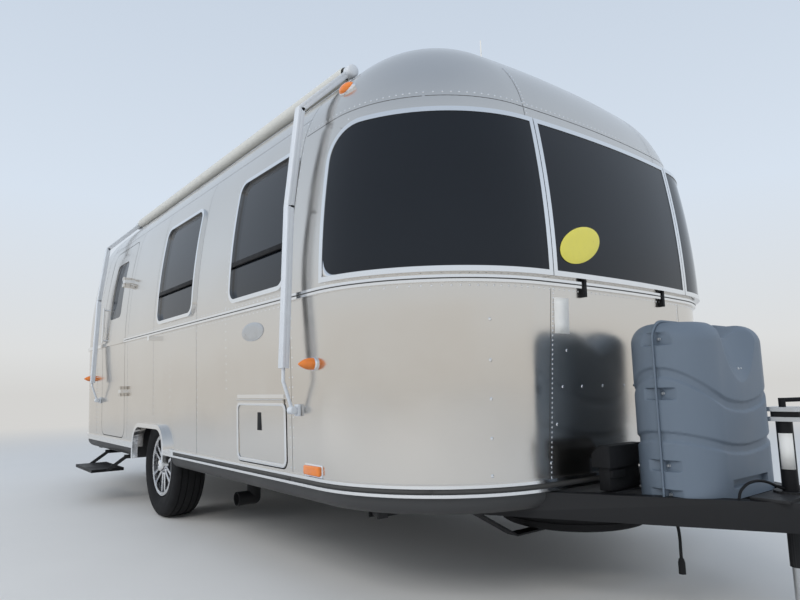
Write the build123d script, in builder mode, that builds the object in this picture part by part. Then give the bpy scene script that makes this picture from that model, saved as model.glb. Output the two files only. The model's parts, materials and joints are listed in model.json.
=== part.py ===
# Riveted aluminium travel caravan on one axle.
# Millimetres, +X forward to the hitch, +Y street side, -Y kerb side with the door, +Z up.
# The origin is on the ground at the middle of the overall length and width.

import os
from math import asin, cos, degrees, pi, radians, sin, sqrt, tan

from build123d import *

# Overall sizes
OVERALL_LENGTH = 6830
HALF_LENGTH = OVERALL_LENGTH / 2
HALF_WIDTH = 1219
BODY_FRONT = 2345
BODY_REAR = -3275
WALL = 40

# Heights above the ground
TRIM_Z = 467
BELT_Z = 1286
TOP_Z = 2560
ROOF_SEAM_Z = 2190
BELLY_Z = 380

# Plan of each end: one wide bow arc between two corner arcs
BOW_R = 6000
CORNER_R = 700
BOW_HALF_ANGLE = degrees(asin((HALF_WIDTH - CORNER_R) / (BOW_R - CORNER_R)))
CORNER_Y = HALF_WIDTH - CORNER_R
CORNER_BACK = BOW_R - (BOW_R - CORNER_R) * cos(radians(BOW_HALF_ANGLE))
FRONT_AXIS_X = BODY_FRONT - CORNER_BACK
REAR_AXIS_X = BODY_REAR + CORNER_BACK

# Upright profile: a slight taper below the belt, a wide arc above it, then the crown arc
TRIM_INSET = 24
UPPER_R = 3900
UPPER_ANGLE = 11.2
CROWN_R = (CORNER_R - UPPER_R * (1 - cos(radians(UPPER_ANGLE)))) / cos(radians(UPPER_ANGLE))
CROWN_Z = BELT_Z + (UPPER_R - CROWN_R) * sin(radians(UPPER_ANGLE))

# Where the end caps join the straight middle
FRONT_SEAM_X = 1375
REAR_SEAM_X = -2305

# Running gear
AXLE_X = -685
TYRE_R = 355
TYRE_WIDTH = 225
TYRE_OUTER_Y = 1142
RIM_R = 195
FLANGE_R = 212
ARCH_HALF = 335
ARCH_TOP_Z = 618
ARCH_CORNER_R = 130
WELL_R = 430
WELL_TOP_Z = 800
WELL_CORNER_R = 220
WELL_INNER_Y = 845
ARCH_LIP = 30
TYRE_Y = TYRE_OUTER_Y - TYRE_WIDTH / 2
TUBE_X = AXLE_X + 150
TUBE_Z = 365
TUBE_SIZE = 90
ARM_Y = 868
SPINDLE_R = 20
HUB_R = 40
DRUM_R = 136
DRUM_Y0 = ARM_Y + 40
SPOKES = 6

# Kerb side openings: x from, x to, z from, z to
DOOR = dict(x0=-2122, x1=-1392, z0=508, z1=2132)
DOOR_GAP = 6
DOOR_CORNER_R = 90
HATCH_CORNER_R = 45
FLOOR_THICKNESS = 40
HATCH = dict(x0=775, x1=1330, z0=505, z1=816)
SIDE_WINDOWS = {
    "kerb": [dict(x0=715, x1=1330, z0=1357, z1=2020), dict(x0=-540, x1=125, z0=1357, z1=2020)],
    "street": [dict(x0=715, x1=1330, z0=1357, z1=2020), dict(x0=-1150, x1=-485, z0=1357, z1=2020)],
}

# End windows: the middle pane and the two that wrap the corners
END_GLASS_Z0 = 1331
END_GLASS_Z1 = 1992
MIDDLE_PANE_Y = 512
WRAP_PANE_Y = 560
WRAP_PANE_X = 1715

FRAME_WIDTH = 22
FRAME_PROUD = 38
SIDE_FRAME_PROUD = 14
REAR_PANE_Y = 400

# Rails along the body
BELT_HEIGHT = 28
BELT_PROUD = 14
RUB_Z0 = 452
RUB_Z1 = 497
RUB_OFFSET = 8
BELLY_EDGE_R = 60

# Tongue
RAIL_TOP_Z = 446
RAIL_DEPTH = 100
RAIL_WIDTH = 51
RAIL_ROOT = (1950, 766)
RAIL_TIP = (3240, 45)
BALL_X = 3362
BALL_R = 29.4
JACK_X = 2960
JACK_TUBE_R = 28
JACK_LEG_R = 22
COVER_X = 2665
COVER_R = 175
COVER_LOBE_Y = 165
COVER_Z0 = 430
COVER_Z1 = 1096
SPARE_X = 1985
SPARE_Z = 334.5

# Entry door and storage hatch
DOOR_WINDOW = dict(x0=-1930, x1=-1585, z0=1500, z1=1990)
HINGE_X = DOOR["x1"] + 2
HINGE_Y = -1243
HINGE_ZS = (880, 1766)
HINGE_PIN_R = 5
HATCH_AXIS_Y = -1213
HATCH_AXIS_Z = HATCH["z1"] + 4

# Folding entry step
STEP_PIVOT = (-1150, 362)
STEP_ARM = 165
STEP_DROP = 35
STEP_X0 = -2043
STEP_X1 = -1477

# Stabiliser legs: x, side
STABILISERS = [(1750, -1), (1750, 1), (-2900, -1), (-2900, 1)]
STABILISER_Y = 1000
STABILISER_Z = 350
STABILISER_LEG = 350

# Awning
ROLLER_Y = -943
ROLLER_Z = 2474
ROLLER_R = 45
AWNING_ARMS = [(1445, 776), (-2155, 806)]
AWNING_ARM_WIDTH = 45

# Roof
ROOF_Z = CROWN_Z + CROWN_R
VENT_X = -1300
VENT_HALF = 210

# Trailer cord from its gland to the plug, and the jack's cable
CORD_R = 6
CORD_ROUTE = [
    (2496, -215, 400), (2542, -213, 405), (2584, -210, 388), (2614, -207, 352),
    (2626, -205, 308), (2628, -204, 262), (2627, -204, 229), (2627, -204, 196),
]
PLUG_Z0 = 140
JACK_CABLE_R = 5

os.makedirs("parts", exist_ok=True)


def save(builder, name):
    """Label a finished piece and write it under its node name."""
    builder.part.label = name
    export_step(builder.part, f"parts/{name}.step")


# Body form

def half_profile(reach, offset, low, back):
    """Lines and arcs of the upright profile at this reach from its axis, closed back to radius back."""
    taper = TRIM_INSET / (BELT_Z - TRIM_Z)
    foot = (reach - offset - taper * (BELT_Z - low), low)
    belt = (reach - offset, BELT_Z)
    top = TOP_Z - offset
    Line((back, low), foot)
    Line(foot, belt)
    CenterArc((reach - UPPER_R, BELT_Z), UPPER_R - offset, 0, UPPER_ANGLE)
    crown = CenterArc((reach - CORNER_R, CROWN_Z), CROWN_R - offset, UPPER_ANGLE, 90 - UPPER_ANGLE)
    Line(crown @ 1, (back, (crown @ 1).Y))
    Line((back, (crown @ 1).Y), (back, low))


def body_form(offset, low):
    """The whole body's outer form moved inwards by offset, from height low to the roof."""
    with BuildPart() as form:
        with BuildSketch(Plane(origin=(REAR_AXIS_X, 0, 0), x_dir=(0, 1, 0), z_dir=(1, 0, 0))):
            with BuildLine():
                half_profile(HALF_WIDTH, offset, low, 0)
            make_face()
            mirror(about=Plane.YZ)
        extrude(amount=FRONT_AXIS_X - REAR_AXIS_X)
        for axis_x, side, start in (
            (FRONT_AXIS_X, 1, BOW_HALF_ANGLE),
            (REAR_AXIS_X, 1, 90),
            (REAR_AXIS_X, -1, 180 + BOW_HALF_ANGLE),
            (FRONT_AXIS_X, -1, 270),
        ):
            add(spun_profile((axis_x, side * CORNER_Y), CORNER_R, offset, low, 0, start, 90 - BOW_HALF_ANGLE))
        for axis_x, start in (
            (BODY_FRONT - BOW_R, -BOW_HALF_ANGLE),
            (BODY_REAR + BOW_R, 180 - BOW_HALF_ANGLE),
        ):
            add(spun_profile((axis_x, 0), BOW_R, offset, low, BOW_R - 1000, start, 2 * BOW_HALF_ANGLE))
    return form.part


def spun_profile(centre, reach, offset, low, back, start, sweep_angle):
    """The half profile turned about an upright axis."""
    direction = (cos(radians(start)), sin(radians(start)), 0)
    plane = Plane(origin=(centre[0], centre[1], 0), x_dir=direction, z_dir=(direction[1], -direction[0], 0))
    with BuildPart() as wedge:
        with BuildSketch(plane):
            with BuildLine():
                half_profile(reach, offset, low, back)
            make_face()
        revolve(axis=Axis((centre[0], centre[1], 0), (0, 0, 1)), revolution_arc=sweep_angle)
    return wedge.part


def skin(outer, inner, low=TRIM_Z - 20):
    """The layer of the body form between two offsets, outwards negative."""
    with BuildPart() as layer:
        add(body_form(outer, low))
        add(body_form(inner, low - 5), mode=Mode.SUBTRACT)
    return layer.part


def side_block(box, side, grow=0, radius=60, depth=500):
    """A rounded block through one side wall, for a window, door or hatch."""
    width = box["x1"] - box["x0"] + 2 * grow
    height = box["z1"] - box["z0"] + 2 * grow
    centre = ((box["x0"] + box["x1"]) / 2, (box["z0"] + box["z1"]) / 2)
    with BuildPart() as block:
        with BuildSketch(Plane(origin=(0, side * (HALF_WIDTH + 60), 0), x_dir=(1, 0, 0), z_dir=(0, -1, 0))):
            with Locations(centre):
                RectangleRounded(width, height, radius)
        extrude(amount=side * depth)
    return block.part


def region(x0, x1, y0, y1, z0, z1):
    """A plain box between six planes."""
    box = Box(x1 - x0, y1 - y0, z1 - z0, mode=Mode.PRIVATE)
    return Pos((x0 + x1) / 2, (y0 + y1) / 2, (z0 + z1) / 2) * box


def wall_y(z):
    """Distance of the side wall's outer surface from the middle at a height."""
    if z < BELT_Z:
        return HALF_WIDTH - TRIM_INSET * (BELT_Z - z) / (BELT_Z - TRIM_Z)
    if z < BELT_Z + UPPER_R * sin(radians(UPPER_ANGLE)):
        return HALF_WIDTH - UPPER_R + sqrt(UPPER_R**2 - (z - BELT_Z) ** 2)
    return HALF_WIDTH - CORNER_R + sqrt(CROWN_R**2 - (z - CROWN_Z) ** 2)


def upright(x, y, radius, z0, z1):
    """An upright cylinder between two heights."""
    return Pos(x, y, (z0 + z1) / 2) * Cylinder(radius, z1 - z0, mode=Mode.PRIVATE)


def rod(start, end, radius):
    """A straight round rod between two points."""
    run = Vector(*end) - Vector(*start)
    plane = Plane(origin=start, z_dir=run)
    return plane * Pos(0, 0, run.length / 2) * Cylinder(radius, run.length, mode=Mode.PRIVATE)


# End windows

def end_pane_block(end, half_width, grow=0):
    """Block through the middle of an end cap for a flat-sided pane."""
    x0, x1 = (1900, 2600) if end > 0 else (-3600, -2900)
    reach = half_width + grow
    return region(x0, x1, -reach, reach, END_GLASS_Z0 - grow, END_GLASS_Z1 + grow)


def wrap_pane_block(side, grow=0):
    """Block through the front corner for one wrapped pane, rounded at its rear end."""
    x0 = WRAP_PANE_X - grow
    x1 = BODY_FRONT + 200
    z0 = END_GLASS_Z0 - grow
    z1 = END_GLASS_Z1 + grow
    with BuildPart() as block:
        with BuildSketch(Plane(origin=(0, side * (WRAP_PANE_Y - grow), 0), x_dir=(1, 0, 0), z_dir=(0, -1, 0))) as outline:
            with Locations(((x0 + x1) / 2, (z0 + z1) / 2)):
                Rectangle(x1 - x0, z1 - z0)
            rear = outline.vertices().sort_by(Axis.X)[:2].sort_by(Axis.Y)
            fillet(rear[1], 150 + grow)
            fillet(rear[0], 70 + grow)
        extrude(amount=-side * 900)
    return block.part


def front_window_blocks(grow):
    """The three blocks of the front windows."""
    return [end_pane_block(1, MIDDLE_PANE_Y, grow), wrap_pane_block(1, grow), wrap_pane_block(-1, grow)]


def arch_block(side, half, top, corner, y0, y1, low=300):
    """Block of a wheel arch opening, rounded at its top corners, between two distances from the middle."""
    with BuildPart() as block:
        with BuildSketch(Plane(origin=(AXLE_X, side * y0, 0), x_dir=(1, 0, 0), z_dir=(0, -1, 0))) as outline:
            with Locations((0, (low + top) / 2)):
                Rectangle(2 * half, top - low)
            fillet(outline.vertices().group_by(Axis.Y)[-1], corner)
        extrude(amount=-side * (y1 - y0))
    return block.part


def plan_prism(offset, z0, z1):
    """An upright prism over the body's plan, moved inwards by offset."""
    corner = CORNER_R - offset
    bow = BOW_R - offset
    side_y = HALF_WIDTH - offset
    turn = 90 - BOW_HALF_ANGLE
    with BuildPart() as prism:
        with BuildSketch(Plane.XY.offset(z0)):
            with BuildLine():
                CenterArc((BODY_FRONT - BOW_R, 0), bow, -BOW_HALF_ANGLE, 2 * BOW_HALF_ANGLE)
                CenterArc((FRONT_AXIS_X, CORNER_Y), corner, BOW_HALF_ANGLE, turn)
                Line((FRONT_AXIS_X, side_y), (REAR_AXIS_X, side_y))
                CenterArc((REAR_AXIS_X, CORNER_Y), corner, 90, turn)
                CenterArc((BODY_REAR + BOW_R, 0), bow, 180 - BOW_HALF_ANGLE, 2 * BOW_HALF_ANGLE)
                CenterArc((REAR_AXIS_X, -CORNER_Y), corner, 180 + BOW_HALF_ANGLE, turn)
                Line((REAR_AXIS_X, -side_y), (FRONT_AXIS_X, -side_y))
                CenterArc((FRONT_AXIS_X, -CORNER_Y), corner, 270, turn)
            make_face()
        extrude(amount=z1 - z0)
    return prism.part


def tongue_rail(side):
    """One box rail of the tongue, its outer face on the line from root to tip."""
    x0, y0 = RAIL_ROOT
    x1, y1 = RAIL_TIP
    run = Vector(x1 - x0, y1 - y0).normalized()
    inward = Vector(-run.Y, run.X) * -RAIL_WIDTH
    corners = [(x0, y0), (x1, y1), (x1 + inward.X, y1 + inward.Y), (x0 + inward.X, y0 + inward.Y)]
    with BuildPart() as rail:
        with BuildSketch(Plane.XY.offset(RAIL_TOP_Z - RAIL_DEPTH)):
            with BuildLine():
                Polyline([(x, side * y) for x, y in corners], close=True)
            make_face()
        extrude(amount=RAIL_DEPTH)
    return rail.part


outer_wall = skin(0, WALL)
belt_skin = skin(-BELT_PROUD, 0)
inside = body_form(WALL, TRIM_Z - 120)
arch_cuts = [arch_block(side, ARCH_HALF, ARCH_TOP_Z, ARCH_CORNER_R, 1100, 1300) for side in (1, -1)]
well_cuts = [arch_block(side, WELL_R, WELL_TOP_Z, WELL_CORNER_R, WELL_INNER_Y, 1300) for side in (1, -1)]


# Body panels

def side_wall(side):
    """One side wall with its windows and wheel arch cut."""
    y0, y1 = sorted((side * 700, side * 1400))
    name = "kerb" if side < 0 else "street"
    with BuildPart() as wall:
        add(outer_wall)
        add(region(REAR_SEAM_X, FRONT_SEAM_X, y0, y1, TRIM_Z, ROOF_SEAM_Z), mode=Mode.INTERSECT)
        for window in SIDE_WINDOWS[name]:
            add(side_block(window, side), mode=Mode.SUBTRACT)
        for cut in arch_cuts:
            add(cut, mode=Mode.SUBTRACT)
    return wall.part


with BuildPart() as kerb_wall:
    add(side_wall(-1))
    add(side_block(DOOR, -1, radius=DOOR_CORNER_R), mode=Mode.SUBTRACT)
    add(side_block(HATCH, -1, radius=HATCH_CORNER_R), mode=Mode.SUBTRACT)
save(kerb_wall, "kerb_wall")

with BuildPart() as street_wall:
    add(side_wall(1))
save(street_wall, "street_wall")

with BuildPart() as roof:
    add(outer_wall)
    add(region(REAR_SEAM_X, FRONT_SEAM_X, -1400, 1400, ROOF_SEAM_Z, 2700), mode=Mode.INTERSECT)
save(roof, "roof_shell")

CAPS = {
    # name: (x from, x to, z from, z to)
    "front_cap_lower": (FRONT_SEAM_X, 2600, TRIM_Z, BELT_Z),
    "front_cap_upper": (FRONT_SEAM_X, 2600, BELT_Z, 2700),
    "rear_cap_lower": (-3600, REAR_SEAM_X, TRIM_Z, BELT_Z),
    "rear_cap_upper": (-3600, REAR_SEAM_X, BELT_Z, 2700),
}
cap_cuts = {
    "front_cap_upper": front_window_blocks(0),
    "rear_cap_upper": [end_pane_block(-1, REAR_PANE_Y)],
}
for name, (x0, x1, z0, z1) in CAPS.items():
    with BuildPart() as cap:
        add(outer_wall)
        add(region(x0, x1, -1400, 1400, z0, z1), mode=Mode.INTERSECT)
        for cut in cap_cuts.get(name, []):
            add(cut, mode=Mode.SUBTRACT)
    save(cap, name)

with BuildPart() as floor:
    add(inside)
    add(region(-3600, 2600, -1400, 1400, TRIM_Z, TRIM_Z + FLOOR_THICKNESS), mode=Mode.INTERSECT)
    for cut in well_cuts:
        add(cut, mode=Mode.SUBTRACT)
save(floor, "floor")

# Wheel wells

with BuildPart() as wells:
    for side in (1, -1):
        inner = arch_block(side, WELL_R - 8, WELL_TOP_Z - 8, WELL_CORNER_R - 8, WELL_INNER_Y + 8, 1300, low=200)
        with BuildPart(mode=Mode.PRIVATE) as well:
            add(arch_block(side, WELL_R, WELL_TOP_Z, WELL_CORNER_R, WELL_INNER_Y, 1300, low=BELLY_Z + 4))
            add(inner, mode=Mode.SUBTRACT)
            add(inside, mode=Mode.INTERSECT)
            add(region(TUBE_X - 55, TUBE_X + 55, -1000, 1000, 300, TUBE_Z + 55), mode=Mode.SUBTRACT)
        add(well.part)
save(wells, "wheel_wells")

# Windows

side_skin = skin(-SIDE_FRAME_PROUD, 0)
glass_skin = skin(6, 12)
end_skin = skin(-FRAME_PROUD, 0)
end_glass_skin = skin(-FRAME_PROUD + 4, -FRAME_PROUD + 10)

side_frame_blocks = [
    (side_block(window, side, grow=FRAME_WIDTH, radius=60 + FRAME_WIDTH), side_block(window, side))
    for side, name in ((-1, "kerb"), (1, "street"))
    for window in SIDE_WINDOWS[name]
]
rear_frame_blocks = (end_pane_block(-1, REAR_PANE_Y, FRAME_WIDTH), end_pane_block(-1, REAR_PANE_Y))
front_frame_blocks = list(zip(front_window_blocks(FRAME_WIDTH), front_window_blocks(0)))


def frame_rings(pairs, layer):
    """The rings between each pair of blocks in a layer of the body form."""
    rings = []
    for outer, inner in pairs:
        with BuildPart() as ring:
            add(layer)
            add(outer, mode=Mode.INTERSECT)
            add(inner, mode=Mode.SUBTRACT)
        rings.append(ring.part)
    return rings


def panes(blocks, layer):
    """The panes that the blocks cut from a layer of the body form."""
    cut = []
    for block in blocks:
        with BuildPart() as pane:
            add(layer)
            add(block, mode=Mode.INTERSECT)
        cut.append(pane.part)
    return cut


with BuildPart() as window_frames:
    for ring in frame_rings(side_frame_blocks + [rear_frame_blocks], side_skin):
        add(ring)
save(window_frames, "window_frames")

with BuildPart() as front_frames:
    for ring in frame_rings(front_frame_blocks, end_skin):
        add(ring)
save(front_frames, "front_window_frames")

with BuildPart() as window_glass:
    for pane in panes([inner for outer, inner in side_frame_blocks + [rear_frame_blocks]], glass_skin):
        add(pane)
    for pane in panes([inner for outer, inner in front_frame_blocks], end_glass_skin):
        add(pane)
save(window_glass, "window_glass")

# Rails round the body

arch_ring_blocks = [
    arch_block(side, ARCH_HALF + ARCH_LIP, ARCH_TOP_Z + ARCH_LIP, ARCH_CORNER_R + ARCH_LIP, 1100, 1300)
    for side in (1, -1)
]

with BuildPart() as belt_rail:
    add(belt_skin)
    add(region(-3600, 2600, -1400, 1400, BELT_Z - BELT_HEIGHT / 2, BELT_Z + BELT_HEIGHT / 2), mode=Mode.INTERSECT)
    add(side_block(DOOR, -1, radius=DOOR_CORNER_R), mode=Mode.SUBTRACT)
save(belt_rail, "belt_rail")

with BuildPart() as rub_rail:
    add(plan_prism(RUB_OFFSET, RUB_Z0, RUB_Z1))
    add(body_form(0, RUB_Z0 - 10), mode=Mode.SUBTRACT)
    with BuildPart(mode=Mode.PRIVATE) as groove:
        add(plan_prism(RUB_OFFSET - 10, RUB_Z0 + 12, RUB_Z1 - 12))
        add(plan_prism(RUB_OFFSET + 5, RUB_Z0, RUB_Z1), mode=Mode.SUBTRACT)
    add(groove.part, mode=Mode.SUBTRACT)
    for block in arch_ring_blocks:
        add(block, mode=Mode.SUBTRACT)
save(rub_rail, "rub_rail")

with BuildPart() as arch_trims:
    for side, outer in zip((1, -1), arch_ring_blocks):
        with BuildPart(mode=Mode.PRIVATE) as ring:
            add(outer)
            add(arch_block(side, ARCH_HALF, ARCH_TOP_Z, ARCH_CORNER_R, 1000, 1400, low=200), mode=Mode.SUBTRACT)
            y0, y1 = sorted((side * 1180, side * (HALF_WIDTH + 14)))
            add(region(AXLE_X - 500, AXLE_X + 500, y0, y1, BELLY_Z + 6, 700), mode=Mode.INTERSECT)
            add(body_form(0, 300), mode=Mode.SUBTRACT)
        add(ring.part)
save(arch_trims, "wheel_arch_trims")

# Underside

with BuildPart() as belly:
    add(plan_prism(26, BELLY_Z, TRIM_Z))
    fillet(belly.faces().sort_by(Axis.Z)[0].edges(), BELLY_EDGE_R)
    for cut in well_cuts:
        add(cut, mode=Mode.SUBTRACT)
    for side in (1, -1):
        y0, y1 = sorted((side * 1100, side * 1300))
        add(region(AXLE_X - WELL_R, AXLE_X + WELL_R, y0, y1, 300, 500), mode=Mode.SUBTRACT)
    add(region(TUBE_X - 60, TUBE_X + 60, -WELL_INNER_Y, WELL_INNER_Y, 300, TUBE_Z + 52), mode=Mode.SUBTRACT)
    for side in (1, -1):
        add(tongue_rail(side), mode=Mode.SUBTRACT)
    add(upright(SPARE_X, 0, TYRE_R + 15, BELLY_Z - 10, SPARE_Z + TYRE_WIDTH / 2 + 8), mode=Mode.SUBTRACT)
save(belly, "belly_pan")


# Wheels and axle

def tyre_section(middle):
    """Lines and arcs of the tyre's section, its first axis across the tread."""
    half = TYRE_WIDTH / 2
    Polyline(
        (middle - 79, FLANGE_R + 2), (middle - 78, RIM_R + 2), (middle + 78, RIM_R + 2), (middle + 79, FLANGE_R + 2)
    )
    ThreePointArc((middle + 79, FLANGE_R + 2), (middle + half, 278), (middle + 96, 336))
    ThreePointArc((middle + 96, 336), (middle + 92, 344), (middle + 84, 348))
    ThreePointArc((middle + 84, 348), (middle, TYRE_R), (middle - 84, 348))
    ThreePointArc((middle - 84, 348), (middle - 92, 344), (middle - 96, 336))
    ThreePointArc((middle - 96, 336), (middle - half, 278), (middle - 79, FLANGE_R + 2))


def wheel_plane(side):
    """Plane through the axle line: first axis outboard, second upward."""
    return Plane(origin=(AXLE_X, 0, TYRE_R), x_dir=(0, side, 0), z_dir=(side, 0, 0))


AXLE_LINE = Axis((AXLE_X, 0, TYRE_R), (0, 1, 0))

for side, tag in ((-1, "kerb"), (1, "street")):
    with BuildPart() as tyre:
        with BuildSketch(wheel_plane(side)):
            with BuildLine():
                tyre_section(TYRE_Y)
            make_face()
        revolve(axis=AXLE_LINE)
    save(tyre, f"tyre_{tag}")

    face = Plane(origin=(AXLE_X, side * (TYRE_Y + 40), TYRE_R), x_dir=(1, 0, 0), z_dir=(0, side, 0))
    with BuildPart() as rim:
        with BuildSketch(wheel_plane(side)):
            with BuildLine():
                Polyline(
                    (TYRE_Y - 88, RIM_R - 8), (TYRE_Y + 88, RIM_R - 8), (TYRE_Y + 88, FLANGE_R),
                    (TYRE_Y + 81, FLANGE_R), (TYRE_Y + 81, RIM_R), (TYRE_Y - 81, RIM_R),
                    (TYRE_Y - 81, FLANGE_R), (TYRE_Y - 88, FLANGE_R), close=True,
                )
            make_face()
        revolve(axis=AXLE_LINE)
        with BuildSketch(face):
            Circle(75)
            with PolarLocations(0, SPOKES):
                with BuildLine():
                    Polyline((60, 4), (190, 24), (190, 46), (55, 26), close=True)
                make_face()
                with BuildLine():
                    Polyline((60, -4), (190, -24), (190, -46), (55, -26), close=True)
                make_face()
            Circle(HUB_R, mode=Mode.SUBTRACT)
        extrude(amount=22)
    save(rim, f"rim_{tag}")

    with BuildPart() as hub:
        with BuildSketch(wheel_plane(side)):
            with BuildLine():
                Polyline(
                    (DRUM_Y0, SPINDLE_R + 0.5), (DRUM_Y0, DRUM_R), (DRUM_Y0 + 60, DRUM_R), (DRUM_Y0 + 66, 120),
                    (TYRE_Y + 40, 80), (TYRE_Y + 40, HUB_R), (TYRE_Y + 96, HUB_R - 6), (TYRE_Y + 102, HUB_R - 14),
                    (TYRE_Y + 102, 0), (TYRE_Y + 30, 0), (TYRE_Y + 30, SPINDLE_R + 0.5), close=True,
                )
            make_face()
        revolve(axis=AXLE_LINE)
    save(hub, f"hub_{tag}")

with BuildPart() as axle:
    add(region(TUBE_X - TUBE_SIZE / 2, TUBE_X + TUBE_SIZE / 2, -ARM_Y, ARM_Y,
               TUBE_Z - TUBE_SIZE / 2, TUBE_Z + TUBE_SIZE / 2))
    for side in (1, -1):
        with BuildSketch(Plane(origin=(0, side * ARM_Y, 0), x_dir=(1, 0, 0), z_dir=(0, side, 0))):
            with Locations((TUBE_X, side * -TUBE_Z)):
                Circle(48)
            with Locations((AXLE_X, side * -TYRE_R)):
                Circle(38)
            make_hull()
        extrude(amount=25)
        with BuildSketch(wheel_plane(side)):
            with BuildLine():
                Polyline(
                    (ARM_Y + 25, 0), (ARM_Y + 25, DRUM_R + 4), (ARM_Y + 33, DRUM_R + 4), (ARM_Y + 33, SPINDLE_R),
                    (TYRE_Y + 24, SPINDLE_R), (TYRE_Y + 24, 0), close=True,
                )
            make_face()
        revolve(axis=AXLE_LINE)
save(axle, "axle_beam")


# Entry door

DOOR_SWING = HINGE_X - DOOR["x0"] - DOOR_GAP

with BuildPart() as door:
    add(outer_wall)
    with BuildPart(mode=Mode.PRIVATE) as strip:
        add(belt_skin)
        add(region(-2400, -1200, -1400, -900, BELT_Z - BELT_HEIGHT / 2, BELT_Z + BELT_HEIGHT / 2), mode=Mode.INTERSECT)
    add(strip.part)
    add(side_block(DOOR, -1, grow=-DOOR_GAP, radius=DOOR_CORNER_R - DOOR_GAP), mode=Mode.INTERSECT)
    add(upright(HINGE_X, HINGE_Y, DOOR_SWING, 0, 3000), mode=Mode.INTERSECT)
    add(side_block(DOOR_WINDOW, -1, radius=50), mode=Mode.SUBTRACT)
    for z in HINGE_ZS:
        for z0 in (z + 14, z - 40):
            add(region(HINGE_X - 45, HINGE_X - 10, HINGE_Y - 5, 5 - wall_y(z), z0, z0 + 26))
            add(region(HINGE_X - 12, HINGE_X, HINGE_Y - 5, HINGE_Y + 8, z0, z0 + 26))
            add(upright(HINGE_X, HINGE_Y, 11, z0, z0 + 26))
        add(upright(HINGE_X, HINGE_Y, HINGE_PIN_R, z - 40, z + 40))
save(door, "entry_door")

with BuildPart() as door_glass:
    add(glass_skin)
    add(side_block(DOOR_WINDOW, -1, radius=50), mode=Mode.INTERSECT)
save(door_glass, "entry_door_glass")

HANDLE_X = -2030
with BuildPart() as handle:
    add(rod((HANDLE_X, -HALF_WIDTH - 28, 1312), (HANDLE_X, -HALF_WIDTH - 24, 1620), 9))
    for z in (1330, 1600):
        add(rod((HANDLE_X, -HALF_WIDTH - 26, z), (HANDLE_X, 0.5 - wall_y(z), z), 8))
    add(region(-2098, -2052, -HALF_WIDTH - 8, -HALF_WIDTH + 20, 1350, 1450))
    add(region(-2090, -2060, -HALF_WIDTH - 22, -HALF_WIDTH + 20, 1366, 1400))
    add(outer_wall, mode=Mode.SUBTRACT)
save(handle, "entry_door_handle")

# Storage hatch

HATCH_SWING = HATCH_AXIS_Z - HATCH["z0"] - DOOR_GAP
HATCH_X0 = HATCH["x0"] + 20
HATCH_X1 = HATCH["x1"] - 20

with BuildPart() as hatch:
    add(outer_wall)
    add(side_block(HATCH, -1, grow=-DOOR_GAP, radius=HATCH_CORNER_R - DOOR_GAP), mode=Mode.INTERSECT)
    add(rod((HATCH["x0"] - 50, HATCH_AXIS_Y, HATCH_AXIS_Z), (HATCH["x1"] + 50, HATCH_AXIS_Y, HATCH_AXIS_Z), HATCH_SWING),
        mode=Mode.INTERSECT)
    add(region(HATCH_X0, HATCH_X1, -1209, -1203, HATCH_AXIS_Z - 24, HATCH_AXIS_Z - 12))
    add(region(HATCH_X0, HATCH_X1, HATCH_AXIS_Y, -1207.5, HATCH_AXIS_Z - 14, HATCH_AXIS_Z))
    add(rod((HATCH_X0, HATCH_AXIS_Y, HATCH_AXIS_Z), (HATCH_X1, HATCH_AXIS_Y, HATCH_AXIS_Z), 4))
save(hatch, "storage_hatch")

with BuildPart() as brackets:
    for z in HINGE_ZS:
        add(region(HINGE_X, HINGE_X + 40, HINGE_Y - 5, 10 - wall_y(z), z - 12, z + 12))
        add(upright(HINGE_X, HINGE_Y, 11, z - 12, z + 12))
        add(upright(HINGE_X, HINGE_Y, HINGE_PIN_R + 0.4, z - 50, z + 50), mode=Mode.SUBTRACT)
    add(region(HATCH_X0, HATCH_X1, -1211, -1200, HATCH_AXIS_Z + 9, HATCH_AXIS_Z + 26))
    add(region(-625, -585, -HALF_WIDTH - 50, -HALF_WIDTH + 10, 1230, 1262))
    add(outer_wall, mode=Mode.SUBTRACT)
save(brackets, "hinge_brackets")

# Tongue and coupler

JACK_PLATE_Z1 = RAIL_TOP_Z + 10

with BuildPart() as tongue:
    for side in (1, -1):
        add(tongue_rail(side))
    add(region(2440, 2480, -440, 440, RAIL_TOP_Z - 80, RAIL_TOP_Z))
    add(region(2600, 2760, -300, 300, COVER_Z0 - 8, COVER_Z0))
    add(region(JACK_X - 65, JACK_X + 65, -195, 195, RAIL_TOP_Z, JACK_PLATE_Z1))
    add(upright(JACK_X, 0, JACK_TUBE_R + 0.3, 300, 600), mode=Mode.SUBTRACT)
    with BuildSketch(Plane.YZ.offset(SPARE_X - 30)):
        with BuildLine():
            Polyline((-730, 346), (-690, 346), (-440, 212), (440, 212), (690, 346), (730, 346))
            offset(amount=-8, side=Side.LEFT)
        make_face()
    extrude(amount=60)
save(tongue, "tongue_frame")

BALL_Z = RAIL_TOP_Z
SOCKET_Z0 = BALL_Z - 22

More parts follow.
